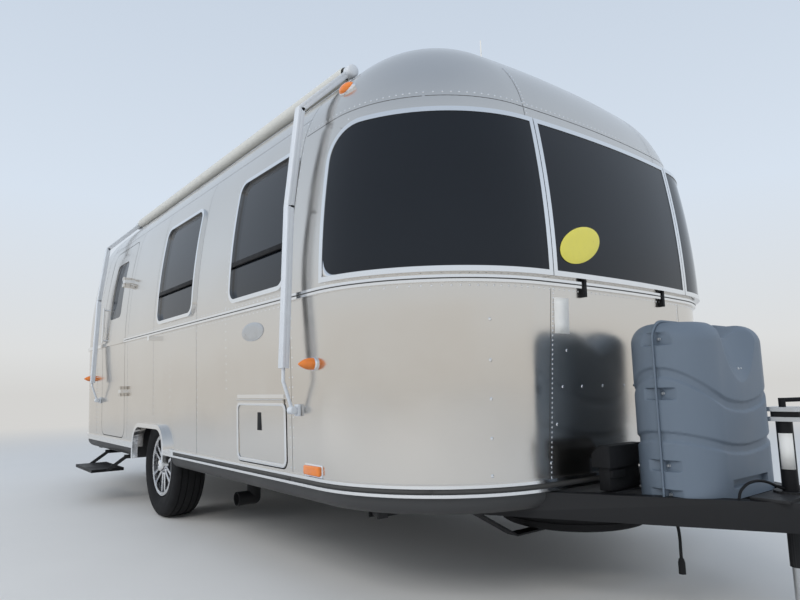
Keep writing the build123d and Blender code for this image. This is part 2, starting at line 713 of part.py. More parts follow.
with BuildPart() as coupler:
    with BuildSketch(Plane.XZ):
        with BuildLine():
            Polyline((BALL_X, SOCKET_Z0), (BALL_X + 53, SOCKET_Z0), (BALL_X + 53, SOCKET_Z0 + 8),
                     (BALL_X + 38, SOCKET_Z0 + 8), (BALL_X + 38, BALL_Z))
            CenterArc((BALL_X, BALL_Z), 38, 0, 90)
            Line((BALL_X, BALL_Z + 38), (BALL_X, SOCKET_Z0))
        make_face()
    revolve(axis=Axis((BALL_X, 0, 0), (0, 0, 1)))
    add(region(RAIL_TIP[0], BALL_X, -36, 36, SOCKET_Z0, BALL_Z + 30))
    add(region(RAIL_TIP[0] - 90, BALL_X - 30, -36, 36, BALL_Z, BALL_Z + 30))
    add(region(3255, 3330, -14, 14, BALL_Z + 28, BALL_Z + 64))
    add(Pos(BALL_X, 0, BALL_Z) * Sphere(BALL_R, mode=Mode.PRIVATE), mode=Mode.SUBTRACT)
    add(upright(BALL_X, 0, BALL_R, SOCKET_Z0 - 10, BALL_Z), mode=Mode.SUBTRACT)
save(coupler, "coupler")

# Tongue jack

with BuildPart() as jack:
    add(upright(JACK_X, 0, JACK_TUBE_R, 196, 716))
    add(upright(JACK_X, 0, 58, JACK_PLATE_Z1, JACK_PLATE_Z1 + 8))
    add(upright(JACK_X, 0, JACK_LEG_R + 2, 190, 700), mode=Mode.SUBTRACT)
    # three layers of the head: half length, half width, z from, z to
    for half_x, half_y, z0, z1 in ((58, 44, 716, 730), (50, 38, 730, 752), (58, 44, 752, 766)):
        with BuildSketch(Plane.XY.offset(z0)):
            with Locations((JACK_X + 14, 0)):
                RectangleRounded(2 * half_x, 2 * half_y, 20)
        extrude(amount=z1 - z0)
    add(upright(JACK_X, 0, 12, 766, 800))
    add(rod((JACK_X, 0, 792), (JACK_X + 120, 110, 796), 8))
    add(rod((JACK_X + 60, 55, 794), (JACK_X + 124, 114, 796), 13))
save(jack, "tongue_jack")

with BuildPart() as jack_leg:
    add(upright(JACK_X, 0, JACK_LEG_R, 6, 500))
    add(upright(JACK_X, 0, 62, 0, 8))
save(jack_leg, "jack_leg")

# Gas bottle cover and battery box

with BuildPart() as cover:
    for y in (-COVER_LOBE_Y, COVER_LOBE_Y):
        with BuildSketch(Plane(origin=(COVER_X, y, 0), x_dir=(1, 0, 0), z_dir=(0, -1, 0))):
            with BuildLine():
                Polyline((0, COVER_Z1), (0, COVER_Z0), (COVER_R, COVER_Z0), (COVER_R, COVER_Z1 - 120))
                ThreePointArc((COVER_R, COVER_Z1 - 120), (COVER_R - 34, COVER_Z1 - 38), (COVER_R - 110, COVER_Z1 - 4))
                Line((COVER_R - 110, COVER_Z1 - 4), (0, COVER_Z1))
            make_face()
        revolve(axis=Axis((COVER_X, y, 0), (0, 0, 1)))
    with BuildSketch(Plane(origin=(COVER_X, COVER_LOBE_Y, 0), x_dir=(1, 0, 0), z_dir=(0, -1, 0))):
        with BuildLine():
            Polyline((0, COVER_Z1), (0, COVER_Z0), (COVER_R, COVER_Z0), (COVER_R, COVER_Z1 - 120))
            ThreePointArc((COVER_R, COVER_Z1 - 120), (COVER_R - 34, COVER_Z1 - 38), (COVER_R - 110, COVER_Z1 - 4))
            Line((COVER_R - 110, COVER_Z1 - 4), (0, COVER_Z1))
        make_face()
        mirror(about=Plane.YZ)
    extrude(amount=2 * COVER_LOBE_Y)
    with BuildSketch(Plane.YZ.offset(COVER_X - 200)):
        with BuildLine():
            Polyline((-140, COVER_Z1 + 20), (0, COVER_Z1 - 60), (140, COVER_Z1 + 20), close=True)
        make_face()
    extrude(amount=400, mode=Mode.SUBTRACT)
    for side in (1, -1):
        add(tongue_rail(side), mode=Mode.SUBTRACT)
save(cover, "gas_bottle_cover")

with BuildPart() as battery:
    add(region(2430, 2480, -592, -352, RAIL_TOP_Z, 600))
    add(region(2480, 2486, -592, -352, RAIL_TOP_Z, 600))
    add(region(2422, 2486, -606, -346, 590, 646))
save(battery, "battery_box")

# Spare wheel

with BuildPart() as spare:
    with BuildSketch(Plane(origin=(SPARE_X, 0, SPARE_Z), x_dir=(0, 0, 1), z_dir=(0, -1, 0))):
        with BuildLine():
            tyre_section(0)
        make_face()
    revolve(axis=Axis((SPARE_X, 0, 0), (0, 0, 1)))
save(spare, "spare_tyre")

with BuildPart() as spare_rim:
    add(upright(SPARE_X, 0, RIM_R, SPARE_Z - 88, SPARE_Z + 88))
    add(upright(SPARE_X, 0, RIM_R - 8, SPARE_Z - 90, SPARE_Z - 20), mode=Mode.SUBTRACT)
    add(upright(SPARE_X, 0, RIM_R - 8, SPARE_Z - 8, SPARE_Z + 90), mode=Mode.SUBTRACT)
    add(upright(SPARE_X, 0, 60, 220, SPARE_Z - 15))
save(spare_rim, "spare_rim")

# Folding step

ARM_TIP = (
    STEP_PIVOT[0] - STEP_ARM * cos(radians(STEP_DROP)),
    STEP_PIVOT[1] - STEP_ARM * sin(radians(STEP_DROP)),
)

with BuildPart() as step_frame:
    for x0, pin_x0, pin_x1 in ((STEP_X0 - 23, STEP_X0 - 23, STEP_X0 - 4), (STEP_X1 + 16, STEP_X1 + 4, STEP_X1 + 23)):
        add(region(x0, x0 + 7, -1120, -800, 345, BELLY_Z))
        add(region(x0, x0 + 7, -1172, -1118, 345, 376))
        add(rod((pin_x0, STEP_PIVOT[0], STEP_PIVOT[1]), (pin_x1, STEP_PIVOT[0], STEP_PIVOT[1]), 6))
    add(region(STEP_X0 - 23, STEP_X1 + 23, -812, -800, 345, BELLY_Z))
save(step_frame, "step_frame")

STEP_GAP = 5
ARM_MIDDLE = ((STEP_PIVOT[0] + ARM_TIP[0]) / 2, (STEP_PIVOT[1] + ARM_TIP[1]) / 2)

with BuildPart() as step_arms:
    for x0 in (STEP_X0 - STEP_GAP - 6, STEP_X1 + STEP_GAP):
        with BuildSketch(Plane.YZ.offset(x0)):
            with Locations(ARM_MIDDLE):
                SlotCenterToCenter(STEP_ARM, 26, rotation=STEP_DROP)
            with Locations(STEP_PIVOT, ARM_TIP):
                Circle(6.4, mode=Mode.SUBTRACT)
        extrude(amount=6)
save(step_arms, "step_arms")

with BuildPart() as tread:
    add(region(STEP_X0, STEP_X1, ARM_TIP[0] - 120, ARM_TIP[0] + 120, ARM_TIP[1] - 14, ARM_TIP[1] + 8))
    add(region(STEP_X0 + 6, STEP_X1 - 6, ARM_TIP[0] - 114, ARM_TIP[0] + 114, ARM_TIP[1] - 20, ARM_TIP[1] + 3),
        mode=Mode.SUBTRACT)
    for x0, x1 in ((STEP_X0 - 12, STEP_X0 + 10), (STEP_X1 - 10, STEP_X1 + 12)):
        add(rod((x0, *ARM_TIP), (x1, *ARM_TIP), 6))
save(tread, "step_tread")

# Stabilisers

for x, side in STABILISERS:
    end = "front" if x > 0 else "rear"
    tag = "kerb" if side < 0 else "street"
    with BuildPart() as leg:
        with BuildSketch(Plane(origin=(x - 22, 0, 0), x_dir=(0, side, 0), z_dir=(side, 0, 0))):
            with Locations((STABILISER_Y - STABILISER_LEG / 2, STABILISER_Z)):
                SlotCenterToCenter(STABILISER_LEG, 30)
            with Locations((STABILISER_Y, STABILISER_Z)):
                Circle(7, mode=Mode.SUBTRACT)
        extrude(amount=side * 44)
        foot_y = side * (STABILISER_Y - STABILISER_LEG)
        add(rod((x - 50, foot_y, STABILISER_Z), (x + 50, foot_y, STABILISER_Z), 18))
    save(leg, f"stabiliser_{end}_{tag}")

with BuildPart() as mounts:
    for x, side in STABILISERS:
        y0, y1 = sorted((side * (STABILISER_Y - 25), side * (STABILISER_Y + 25)))
        for x0 in (x - 34, x + 28):
            add(region(x0, x0 + 6, y0, y1, STABILISER_Z - 18, BELLY_Z))
        pin = (side * STABILISER_Y, STABILISER_Z)
        add(rod((x - 34, *pin), (x + 34, *pin), 6.6))
save(mounts, "stabiliser_mounts")

# Awning

ROLLER_X0 = AWNING_ARMS[1][0] + AWNING_ARM_WIDTH / 2
ROLLER_X1 = AWNING_ARMS[0][0] - AWNING_ARM_WIDTH / 2

with BuildPart() as roller:
    add(rod((ROLLER_X0, ROLLER_Y, ROLLER_Z), (ROLLER_X1, ROLLER_Y, ROLLER_Z), ROLLER_R))
save(roller, "awning_roller")

ARM_SHOULDER = (-1205, 2190)
ARM_ELBOW = (-1250, 1700)
ARM_FOOT = (-1255, 976)
ARM_DEPTH = 36

with BuildPart() as awning_arms:
    for x, pivot_z in AWNING_ARMS:
        x0 = x - AWNING_ARM_WIDTH / 2
        with BuildSketch(Plane.YZ.offset(x0)):
            with BuildLine() as path:
                Polyline((ROLLER_Y, ROLLER_Z), ARM_SHOULDER, ARM_ELBOW, ARM_FOOT)
            trace(line_width=ARM_DEPTH)
            with Locations((ROLLER_Y, ROLLER_Z)):
                Circle(ROLLER_R + 4)
        extrude(amount=AWNING_ARM_WIDTH)
        add(region(x - 8, x + 8, ARM_FOOT[0] - 6, ARM_FOOT[0] + 6, pivot_z, ARM_FOOT[1] + 4))
        with BuildPart(mode=Mode.PRIVATE) as pivot:
            add(region(x - 22, x + 22, ARM_FOOT[0] - 14, -HALF_WIDTH + 30, pivot_z - 22, pivot_z + 22))
            add(outer_wall, mode=Mode.SUBTRACT)
        add(pivot.part)
save(awning_arms, "awning_arms")

# Roof

with BuildPart() as conditioner:
    with BuildSketch(Plane.XY.offset(ROOF_Z)):
        RectangleRounded(1000, 700, 90)
    extrude(amount=2860 - ROOF_Z, taper=6)
    fillet(conditioner.faces().sort_by(Axis.Z)[-1].edges(), 50)
save(conditioner, "air_conditioner")

VENT_TOP = ROOF_Z + 40
with BuildPart() as vent_base:
    add(region(VENT_X - VENT_HALF, VENT_X + VENT_HALF, -VENT_HALF, VENT_HALF, ROOF_Z, VENT_TOP))
    add(region(VENT_X - 180, VENT_X + 180, -180, 180, ROOF_Z + 4, VENT_TOP + 5), mode=Mode.SUBTRACT)
save(vent_base, "roof_vent_base")

with BuildPart() as vent_lid:
    with BuildSketch(Plane.XY.offset(VENT_TOP + 3)):
        with Locations((VENT_X, 0)):
            RectangleRounded(2 * VENT_HALF + 20, 2 * VENT_HALF + 20, 30)
    extrude(amount=40, taper=20)
    add(region(VENT_X - 214, VENT_X + 214, -214, 214, VENT_TOP, VENT_TOP + 18), mode=Mode.SUBTRACT)
save(vent_lid, "roof_vent_lid")

with BuildPart() as roof_fittings:
    for x, y in ((-1900, 300), (700, 330)):
        add(upright(x, y, 55, ROOF_Z, ROOF_Z + 60))
        add(upright(x, y, 75, ROOF_Z + 40, ROOF_Z + 62))
    add(upright(1430, 76, 30, ROOF_Z, ROOF_Z + 40))
    add(upright(1430, 76, 4, ROOF_Z + 30, 3000))
save(roof_fittings, "roof_fittings")

# Lamps: x, height of the lamps along the sides
SIDE_LAMPS = [(1585, 976), (-2465, 1006)]

with BuildPart() as lamps:
    for side in (1, -1):
        for x, z in SIDE_LAMPS:
            y = side * (wall_y(z) + 6)
            with BuildPart(mode=Mode.PRIVATE) as lamp:
                add(rod((x - 26, y, z), (x + 26, y, z), 20))
                add(Pos(x + 26, y, z) * Sphere(20, mode=Mode.PRIVATE))
                add(Pos(x - 26, y, z) * Sphere(20, mode=Mode.PRIVATE))
                add(body_form(0, TRIM_Z), mode=Mode.SUBTRACT)
            add(lamp.part)
        y0, y1 = sorted((side * 1100, side * 1300))
        with BuildPart(mode=Mode.PRIVATE) as low_lamp:
            add(side_skin)
            add(region(1495, 1635, y0, y1, 506, 556), mode=Mode.INTERSECT)
        add(low_lamp.part)
save(lamps, "side_lamps")

# Tail lamps: distance from the middle, height
TAIL_LAMPS = [(840, 760), (840, 900), (840, 1040)]

with BuildPart() as tail_lamps:
    for side in (1, -1):
        for y, z in TAIL_LAMPS:
            with BuildPart(mode=Mode.PRIVATE) as lamp:
                add(side_skin)
                add(rod((-3600, side * y, z), (-2800, side * y, z), 55), mode=Mode.INTERSECT)
            add(lamp.part)
save(tail_lamps, "tail_lamps")

with BuildPart() as bumper:
    with BuildSketch(Plane.XY.offset(390)):
        with Locations((-HALF_LENGTH + 55, 0)):
            RectangleRounded(110, 1900, 30)
    extrude(amount=80)
    for side in (1, -1):
        y0, y1 = sorted((side * 480, side * 540))
        with BuildPart(mode=Mode.PRIVATE) as stay:
            add(region(-3320, -3200, y0, y1, 395, 445))
            add(belly.part, mode=Mode.SUBTRACT)
        add(stay.part)
save(bumper, "rear_bumper")

# Street side fittings: x from, x to, z from, z to, corner radius
STREET_FITTINGS = [
    (-380, 180, 700, 1120, 20),
    (-1750, -1420, 620, 950, 20),
    (-2420, -2260, 700, 860, 30),
]

with BuildPart() as services:
    for x0, x1, z0, z1, corner in STREET_FITTINGS:
        with BuildPart(mode=Mode.PRIVATE) as fitting:
            add(side_skin)
            add(side_block(dict(x0=x0, x1=x1, z0=z0, z1=z1), 1, radius=corner), mode=Mode.INTERSECT)
        add(fitting.part)
save(services, "street_services")

with BuildPart() as drain:
    add(upright(350, -900, 40, 235, BELLY_Z))
    add(rod((350, -900, 235), (350, -1010, 235), 40))
    add(Pos(350, -900, 235) * Sphere(40, mode=Mode.PRIVATE))
    add(rod((350, -930, 235), (350, -1015, 235), 36), mode=Mode.SUBTRACT)
save(drain, "drain_outlet")


# Trailer cord and jack cable

def corner_radii(route):
    """The largest even bend at each inner point of a route."""
    radii = []
    for before, point, after in zip(route, route[1:], route[2:]):
        run_in = Vector(*point) - Vector(*before)
        run_out = Vector(*after) - Vector(*point)
        turn = radians(run_in.get_angle(run_out))
        radii.append(0.45 * min(run_in.length, run_out.length) / tan(turn / 2))
    return radii


def hose(route, radius):
    """A round tube along straight runs and tangent arcs."""
    radii = corner_radii(route)
    print("bend radii", [round(r) for r in radii])
    with BuildPart() as tube:
        with BuildLine() as path:
            FilletPolyline(*route, radius=radii)
        with BuildSketch(Plane(origin=route[0], z_dir=path.line % 0)):
            Circle(radius)
        sweep()
    run = path.wire().length
    print("length", round(run), "volume over section times length", round(tube.part.volume / (run * pi * radius**2), 4))
    return tube.part


gland_run = (Vector(*CORD_ROUTE[1]) - Vector(*CORD_ROUTE[0])).normalized()
with BuildPart() as gland:
    add(rod(tuple(Vector(*CORD_ROUTE[0]) - 20 * gland_run), CORD_ROUTE[0], 11))
    add(tongue.part, mode=Mode.SUBTRACT)
save(gland, "cord_gland")

with BuildPart() as cord:
    add(hose(CORD_ROUTE, CORD_R))
save(cord, "trailer_cord")

plug_x, plug_y, plug_z1 = CORD_ROUTE[-1]
with BuildPart() as plug:
    with BuildSketch(Plane(origin=(plug_x, plug_y, 0), x_dir=(1, 0, 0), z_dir=(0, -1, 0))):
        with BuildLine():
            Polyline((0, plug_z1), (9, plug_z1), (13, plug_z1 - 14), (13, PLUG_Z0), (0, PLUG_Z0), close=True)
        make_face()
    revolve(axis=Axis((plug_x, plug_y, 0), (0, 0, 1)))
save(plug, "trailer_plug")

JACK_CABLE_ROUTE = [
    (2870, -222, RAIL_TOP_Z), (2873, -214, 474), (2886, -183, 500), (2904, -140, 508),
    (2922, -97, 500), (2936, -60, 482), (2947.8, -25.2, 470),
]

with BuildPart() as jack_cable:
    add(hose(JACK_CABLE_ROUTE, JACK_CABLE_R))
    add(jack.part, mode=Mode.SUBTRACT)
    add(tongue.part, mode=Mode.SUBTRACT)
save(jack_cable, "jack_cable")
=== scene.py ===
import json
from math import asin, atan2, cos, pi, radians, sin, sqrt

import bmesh
import bpy
from mathutils import Matrix, Vector


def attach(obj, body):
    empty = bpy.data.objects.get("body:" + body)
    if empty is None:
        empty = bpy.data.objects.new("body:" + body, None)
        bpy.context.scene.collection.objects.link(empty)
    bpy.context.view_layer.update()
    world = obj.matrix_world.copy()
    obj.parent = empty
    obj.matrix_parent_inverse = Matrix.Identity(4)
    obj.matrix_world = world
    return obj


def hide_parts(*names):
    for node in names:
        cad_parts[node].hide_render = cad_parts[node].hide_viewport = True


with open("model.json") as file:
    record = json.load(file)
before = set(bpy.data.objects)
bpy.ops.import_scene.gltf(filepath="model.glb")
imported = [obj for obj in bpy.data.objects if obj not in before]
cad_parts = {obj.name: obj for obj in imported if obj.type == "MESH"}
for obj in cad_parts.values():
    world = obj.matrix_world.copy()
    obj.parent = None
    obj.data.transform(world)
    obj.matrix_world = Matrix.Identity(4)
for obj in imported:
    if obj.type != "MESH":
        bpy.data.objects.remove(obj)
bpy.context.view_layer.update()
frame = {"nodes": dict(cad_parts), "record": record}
nodes = frame["nodes"]
scene = bpy.context.scene

# Camera, from the photograph's viewing angle
CAMERA_PLACE = Vector((3.925, -2.586, 0.868))
CAMERA_YAW = radians(51.571)
CAMERA_PITCH = radians(8.007)
CAMERA_ROLL = radians(-1.155)
FOCAL_PX = 620.1
FRAME_PX = 800
SENSOR_MM = 36
VIEW_END = 200

level = Vector((cos(CAMERA_YAW), sin(CAMERA_YAW), 0))
ahead = Vector((-sin(CAMERA_YAW), cos(CAMERA_YAW), 0))
forward = cos(CAMERA_PITCH) * ahead + Vector((0, 0, sin(CAMERA_PITCH)))
upward = level.cross(forward)
camera_x = cos(CAMERA_ROLL) * level + sin(CAMERA_ROLL) * upward
camera_y = cos(CAMERA_ROLL) * upward - sin(CAMERA_ROLL) * level
camera_turn = Matrix((camera_x, camera_y, -forward)).transposed().to_4x4()

camera = bpy.data.objects.new("camera", bpy.data.cameras.new("camera"))
camera.data.sensor_width = SENSOR_MM
camera.data.lens = FOCAL_PX / FRAME_PX * SENSOR_MM
camera.data.clip_end = VIEW_END
camera.matrix_world = Matrix.Translation(CAMERA_PLACE) @ camera_turn
scene.collection.objects.link(camera)
scene.camera = camera
scene.view_settings.view_transform = "Standard"

# Body form, the same driving sizes as the solids
HALF_WIDTH = 1.219
BODY_FRONT = 2.345
BODY_REAR = -3.275
TRIM_Z = 0.467
BELT_Z = 1.286
TRIM_INSET = 0.024
LOWER_SLOPE = -0.029
BOW_R = 6.0
CORNER_R = 0.7
UPPER_R = 3.9
UPPER_ANGLE = radians(11.2)
CORNER_Y = HALF_WIDTH - CORNER_R
BOW_HALF_ANGLE = asin(CORNER_Y / (BOW_R - CORNER_R))
CORNER_BACK = BOW_R - (BOW_R - CORNER_R) * cos(BOW_HALF_ANGLE)
FRONT_AXIS_X = BODY_FRONT - CORNER_BACK
REAR_AXIS_X = BODY_REAR + CORNER_BACK
CROWN_R = (CORNER_R - UPPER_R * (1 - cos(UPPER_ANGLE))) / cos(UPPER_ANGLE)
CROWN_Z = BELT_Z + (UPPER_R - CROWN_R) * sin(UPPER_ANGLE)
ROOF_Z = CROWN_Z + CROWN_R
FRONT_SEAM_X = 1.375
REAR_SEAM_X = -2.305
ROOF_SEAM_Z = 2.190


def inset(z):
    """How far the skin stands inside the widest outline at a height, and its outward slope angle."""
    if z < BELT_Z:
        return TRIM_INSET * (BELT_Z - z) / (BELT_Z - TRIM_Z), LOWER_SLOPE
    if z < BELT_Z + UPPER_R * sin(UPPER_ANGLE):
        slope = asin((z - BELT_Z) / UPPER_R)
        return UPPER_R * (1 - cos(slope)), slope
    slope = asin(min(1, (z - CROWN_Z) / CROWN_R))
    return CORNER_R - CROWN_R * cos(slope), slope


def corner_reach(z):
    """Radius of the plan's corners at a height."""
    return CORNER_R - inset(z)[0]


def outline_point(across, z, side=0, proud=0.0):
    """A point and normal on the skin: across is y on the front cap with side 0, else x on that side."""
    back, slope = inset(z)
    if side == 0:
        reach = abs(across)
        if reach <= (BOW_R - back) * sin(BOW_HALF_ANGLE):
            angle = asin(across / (BOW_R - back))
            place = Vector((BODY_FRONT - BOW_R + (BOW_R - back) * cos(angle), across, z))
        else:
            angle = asin(min(1, (reach - CORNER_Y) / (CORNER_R - back)))
            place = Vector((FRONT_AXIS_X + (CORNER_R - back) * cos(angle), across, z))
            angle = angle if across > 0 else -angle
        flat = Vector((cos(angle), sin(angle), 0))
    else:
        beyond = max(0, across - FRONT_AXIS_X, REAR_AXIS_X - across)
        angle = asin(min(1, beyond / (CORNER_R - back)))
        way = 1 if across > 0 else -1
        place = Vector((across, side * (CORNER_Y + (CORNER_R - back) * cos(angle)), z))
        flat = Vector((way * sin(angle), side * cos(angle), 0))
    normal = flat * cos(slope) + Vector((0, 0, sin(slope)))
    return place + normal * proud, normal


def rear_corner(y, z, proud):
    """The skin's point on the rear corners at a distance from the middle."""
    x = REAR_AXIS_X - sqrt(corner_reach(z) ** 2 - (abs(y) - CORNER_Y) ** 2)
    return outline_point(x, z, 1 if y > 0 else -1, proud)[0]


def skin_normal(p):
    """The outward normal of the body form nearest to a point."""
    x, y, z = p
    slope = inset(min(max(z, TRIM_Z), ROOF_Z - 1e-4))[1]
    if abs(y) <= CORNER_Y and REAR_AXIS_X <= x <= FRONT_AXIS_X:
        return Vector((0, 0, 1))
    if x > FRONT_AXIS_X or x < REAR_AXIS_X:
        way = 1 if x > 0 else -1
        axis_x = FRONT_AXIS_X if x > 0 else REAR_AXIS_X
        around = Vector((x - axis_x, abs(y) - CORNER_Y, 0))
        if abs(y) < CORNER_Y or abs(atan2(around.y, way * around.x)) < BOW_HALF_ANGLE:
            centre_x = BODY_FRONT - BOW_R if x > 0 else BODY_REAR + BOW_R
            flat = Vector((x - centre_x, y, 0))
        else:
            flat = Vector((around.x, around.y * (1 if y > 0 else -1), 0))
    else:
        flat = Vector((0, 1 if y > 0 else -1, 0))
    return (flat.normalized() * cos(slope) + Vector((0, 0, sin(slope)))).normalized()


# Finishes

def stretched(tree, source, scale):
    """Coordinates scaled along their axes."""
    node = tree.nodes.new("ShaderNodeMapping")
    node.inputs["Scale"].default_value = scale
    tree.links.new(source, node.inputs["Vector"])
    return node.outputs["Vector"]


def noise(tree, source, scale, detail):
    """A cloudy pattern over coordinates."""
    node = tree.nodes.new("ShaderNodeTexNoise")
    node.inputs["Scale"].default_value = scale
    node.inputs["Detail"].default_value = detail
    tree.links.new(source, node.inputs["Vector"])
    return node.outputs["Fac"]


def ranged(tree, value, low, high, to_low=0.0, to_high=1.0):
    """A value taken from one range to another."""
    node = tree.nodes.new("ShaderNodeMapRange")
    for socket, number in (("From Min", low), ("From Max", high), ("To Min", to_low), ("To Max", to_high)):
        node.inputs[socket].default_value = number
    tree.links.new(value, node.inputs["Value"])
    return node


def mixed(tree, factor, colour):
    """A mix from a first colour, set by the caller, to a given one."""
    node = tree.nodes.new("ShaderNodeMix")
    node.data_type = "RGBA"
    node.inputs["B"].default_value = [*colour, 1]
    tree.links.new(factor, node.inputs["Factor"])
    return node


def relief(tree, height, strength, depth):
    """Bumps made from a pattern."""
    node = tree.nodes.new("ShaderNodeBump")
    node.inputs["Strength"].default_value = strength
    node.inputs["Distance"].default_value = depth
    tree.links.new(height, node.inputs["Height"])
    return node


def finish(name, colour, rough, metal=0.0, spread=0.08, grain=12.0, stretch=(1, 1, 1), rough_spread=0.08,
           bump=0.0, bump_grain=120.0, bump_depth=0.001, coat=0.0, wear=0.0, shine=0.5):
    """A surface with patchy colour, varied gloss and a fine relief, all in object coordinates."""
    mat = bpy.data.materials.new(name)
    mat.use_nodes = True
    tree = mat.node_tree
    shader = tree.nodes["Principled BSDF"]
    shader.inputs["Metallic"].default_value = metal
    shader.inputs["Coat Weight"].default_value = coat
    shader.inputs["Specular IOR Level"].default_value = shine
    place = tree.nodes.new("ShaderNodeTexCoord")
    source = stretched(tree, place.outputs["Object"], stretch)
    patches = noise(tree, source, grain, 4)
    tint = mixed(tree, patches, [min(1, c * (1 + spread)) for c in colour])
    tint.inputs["A"].default_value = [*(c * (1 - spread) for c in colour), 1]
    if wear:
        edges = tree.nodes.new("ShaderNodeNewGeometry")
        rubbed = ranged(tree, edges.outputs["Pointiness"], 0.52, 0.60, 0.0, wear)
        worn = mixed(tree, rubbed.outputs["Result"], [min(1, c * 2.5 + 0.15) for c in colour])
        tree.links.new(tint.outputs["Result"], worn.inputs["A"])
        tint = worn
    tree.links.new(tint.outputs["Result"], shader.inputs["Base Color"])
    gloss = ranged(tree, patches, 0.3, 0.7, max(0.02, rough - rough_spread), min(1, rough + rough_spread))
    tree.links.new(gloss.outputs["Result"], shader.inputs["Roughness"])
    if bump:
        fine = relief(tree, noise(tree, source, bump_grain, 3), bump, bump_depth)
        tree.links.new(fine.outputs["Normal"], shader.inputs["Normal"])
    return mat


def sheet_metal(name, colour, rough):
    """Aluminium sheet: long rolling streaks, faint cloudy patches and slow waves between its frames."""
    mat = finish(name, colour, rough, metal=1.0, spread=0.05, grain=3.0, rough_spread=0.06)
    tree = mat.node_tree
    source = tree.nodes["Texture Coordinate"].outputs["Object"]
    waves = relief(tree, noise(tree, source, 1.6, 1), 0.35, 0.03)
    streaks = relief(tree, noise(tree, stretched(tree, source, (4, 4, 260)), 3.0, 3), 0.06, 0.001)
    tree.links.new(waves.outputs["Normal"], streaks.inputs["Normal"])
    tree.links.new(streaks.outputs["Normal"], tree.nodes["Principled BSDF"].inputs["Normal"])
    return mat


# the skin's colour is partly the aluminium's own grey and partly a painted reflection: dimmed and warmed to
# stand for warm, darker surroundings mirrored in it
SKIN_WITH_PAINTED_REFLECTION = sheet_metal("rolled_aluminium_painted_reflection", (0.72, 0.685, 0.64), 0.18)
TRIM = finish("polished_trim", (0.86, 0.86, 0.86), 0.14, metal=1.0, spread=0.03, bump=0.05, bump_grain=60)
DARK_GLASS = finish("tinted_glass", (0.006, 0.008, 0.012), 0.04, spread=0.2, grain=1.5, rough_spread=0.01,
                    shine=0.35)
BLACK_STEEL = finish("black_frame_paint", (0.008, 0.008, 0.009), 0.48, spread=0.3, grain=9, bump=0.25,
                     bump_grain=180, wear=0.15, shine=0.22)
ZINC = finish("zinc_steel", (0.58, 0.59, 0.60), 0.34, metal=1.0, spread=0.15, grain=30, bump=0.2,
              bump_grain=150)
RUBBER = finish("tyre_rubber", (0.012, 0.012, 0.013), 0.78, spread=0.25, grain=18, bump=0.3,
                bump_grain=300, shine=0.25)
ALLOY = finish("wheel_alloy", (0.72, 0.72, 0.73), 0.26, metal=1.0, spread=0.06, grain=14, bump=0.08,
               bump_grain=200)
CHROME = finish("chrome", (0.90, 0.90, 0.91), 0.07, metal=1.0, spread=0.02, rough_spread=0.03)
# the cover's colour is painted shade: the darker, bluer tone of its shaded side, not the lighter neutral
# grey of the plastic itself
COVER_PAINTED_SHADE = finish("moulded_cover_painted_shade", (0.135, 0.17, 0.215), 0.50, spread=0.05, grain=5, bump=0.25,
               bump_grain=420, bump_depth=0.0008)
BLACK_PLASTIC = finish("black_plastic", (0.010, 0.010, 0.011), 0.6, spread=0.2, grain=20, bump=0.35,
                       bump_grain=350, shine=0.25)
WHITE_PLASTIC = finish("white_plastic", (0.80, 0.79, 0.76), 0.4, spread=0.04, grain=6, bump=0.15,
                       bump_grain=300)
# the near-black colour under the body is painted shade and a painted reflection of dark ground on what is
# aluminium sheet
UNDERBODY_PAINTED_SHADE = finish("underbody_sheet", (0.045, 0.045, 0.046), 0.55, spread=0.25, grain=4, bump=0.3,
                   bump_grain=60)
FLOOR_BOARD = finish("floor_board", (0.30, 0.22, 0.14), 0.5, spread=0.3, grain=3, stretch=(1, 14, 1),
                     bump=0.2)
AMBER = finish("amber_lens", (0.78, 0.20, 0.01), 0.12, spread=0.15, grain=40, coat=0.8, bump=0.3,
               bump_grain=90)
RED_LENS = finish("red_lens", (0.45, 0.01, 0.01), 0.12, spread=0.15, grain=40, coat=0.8, bump=0.3,
                  bump_grain=90)
CLOTH = finish("awning_cloth", (0.60, 0.60, 0.57), 0.85, spread=0.1, grain=25, bump=0.5, bump_grain=900)
YELLOW_FILM = finish("yellow_film", (0.74, 0.66, 0.10), 0.35, spread=0.05, grain=30)
SEAM_GAP = finish("seam_gap", (0.06, 0.058, 0.055), 0.6, spread=0.2)
ARM_PAINT = finish("awning_enamel", (0.62, 0.65, 0.69), 0.30, spread=0.05, grain=6, coat=0.2, bump=0.05,
                   bump_grain=90)

SKIN_NODES = ("kerb_wall", "street_wall", "roof_shell", "front_cap_lower", "front_cap_upper",
              "rear_cap_lower", "rear_cap_upper", "entry_door", "storage_hatch")
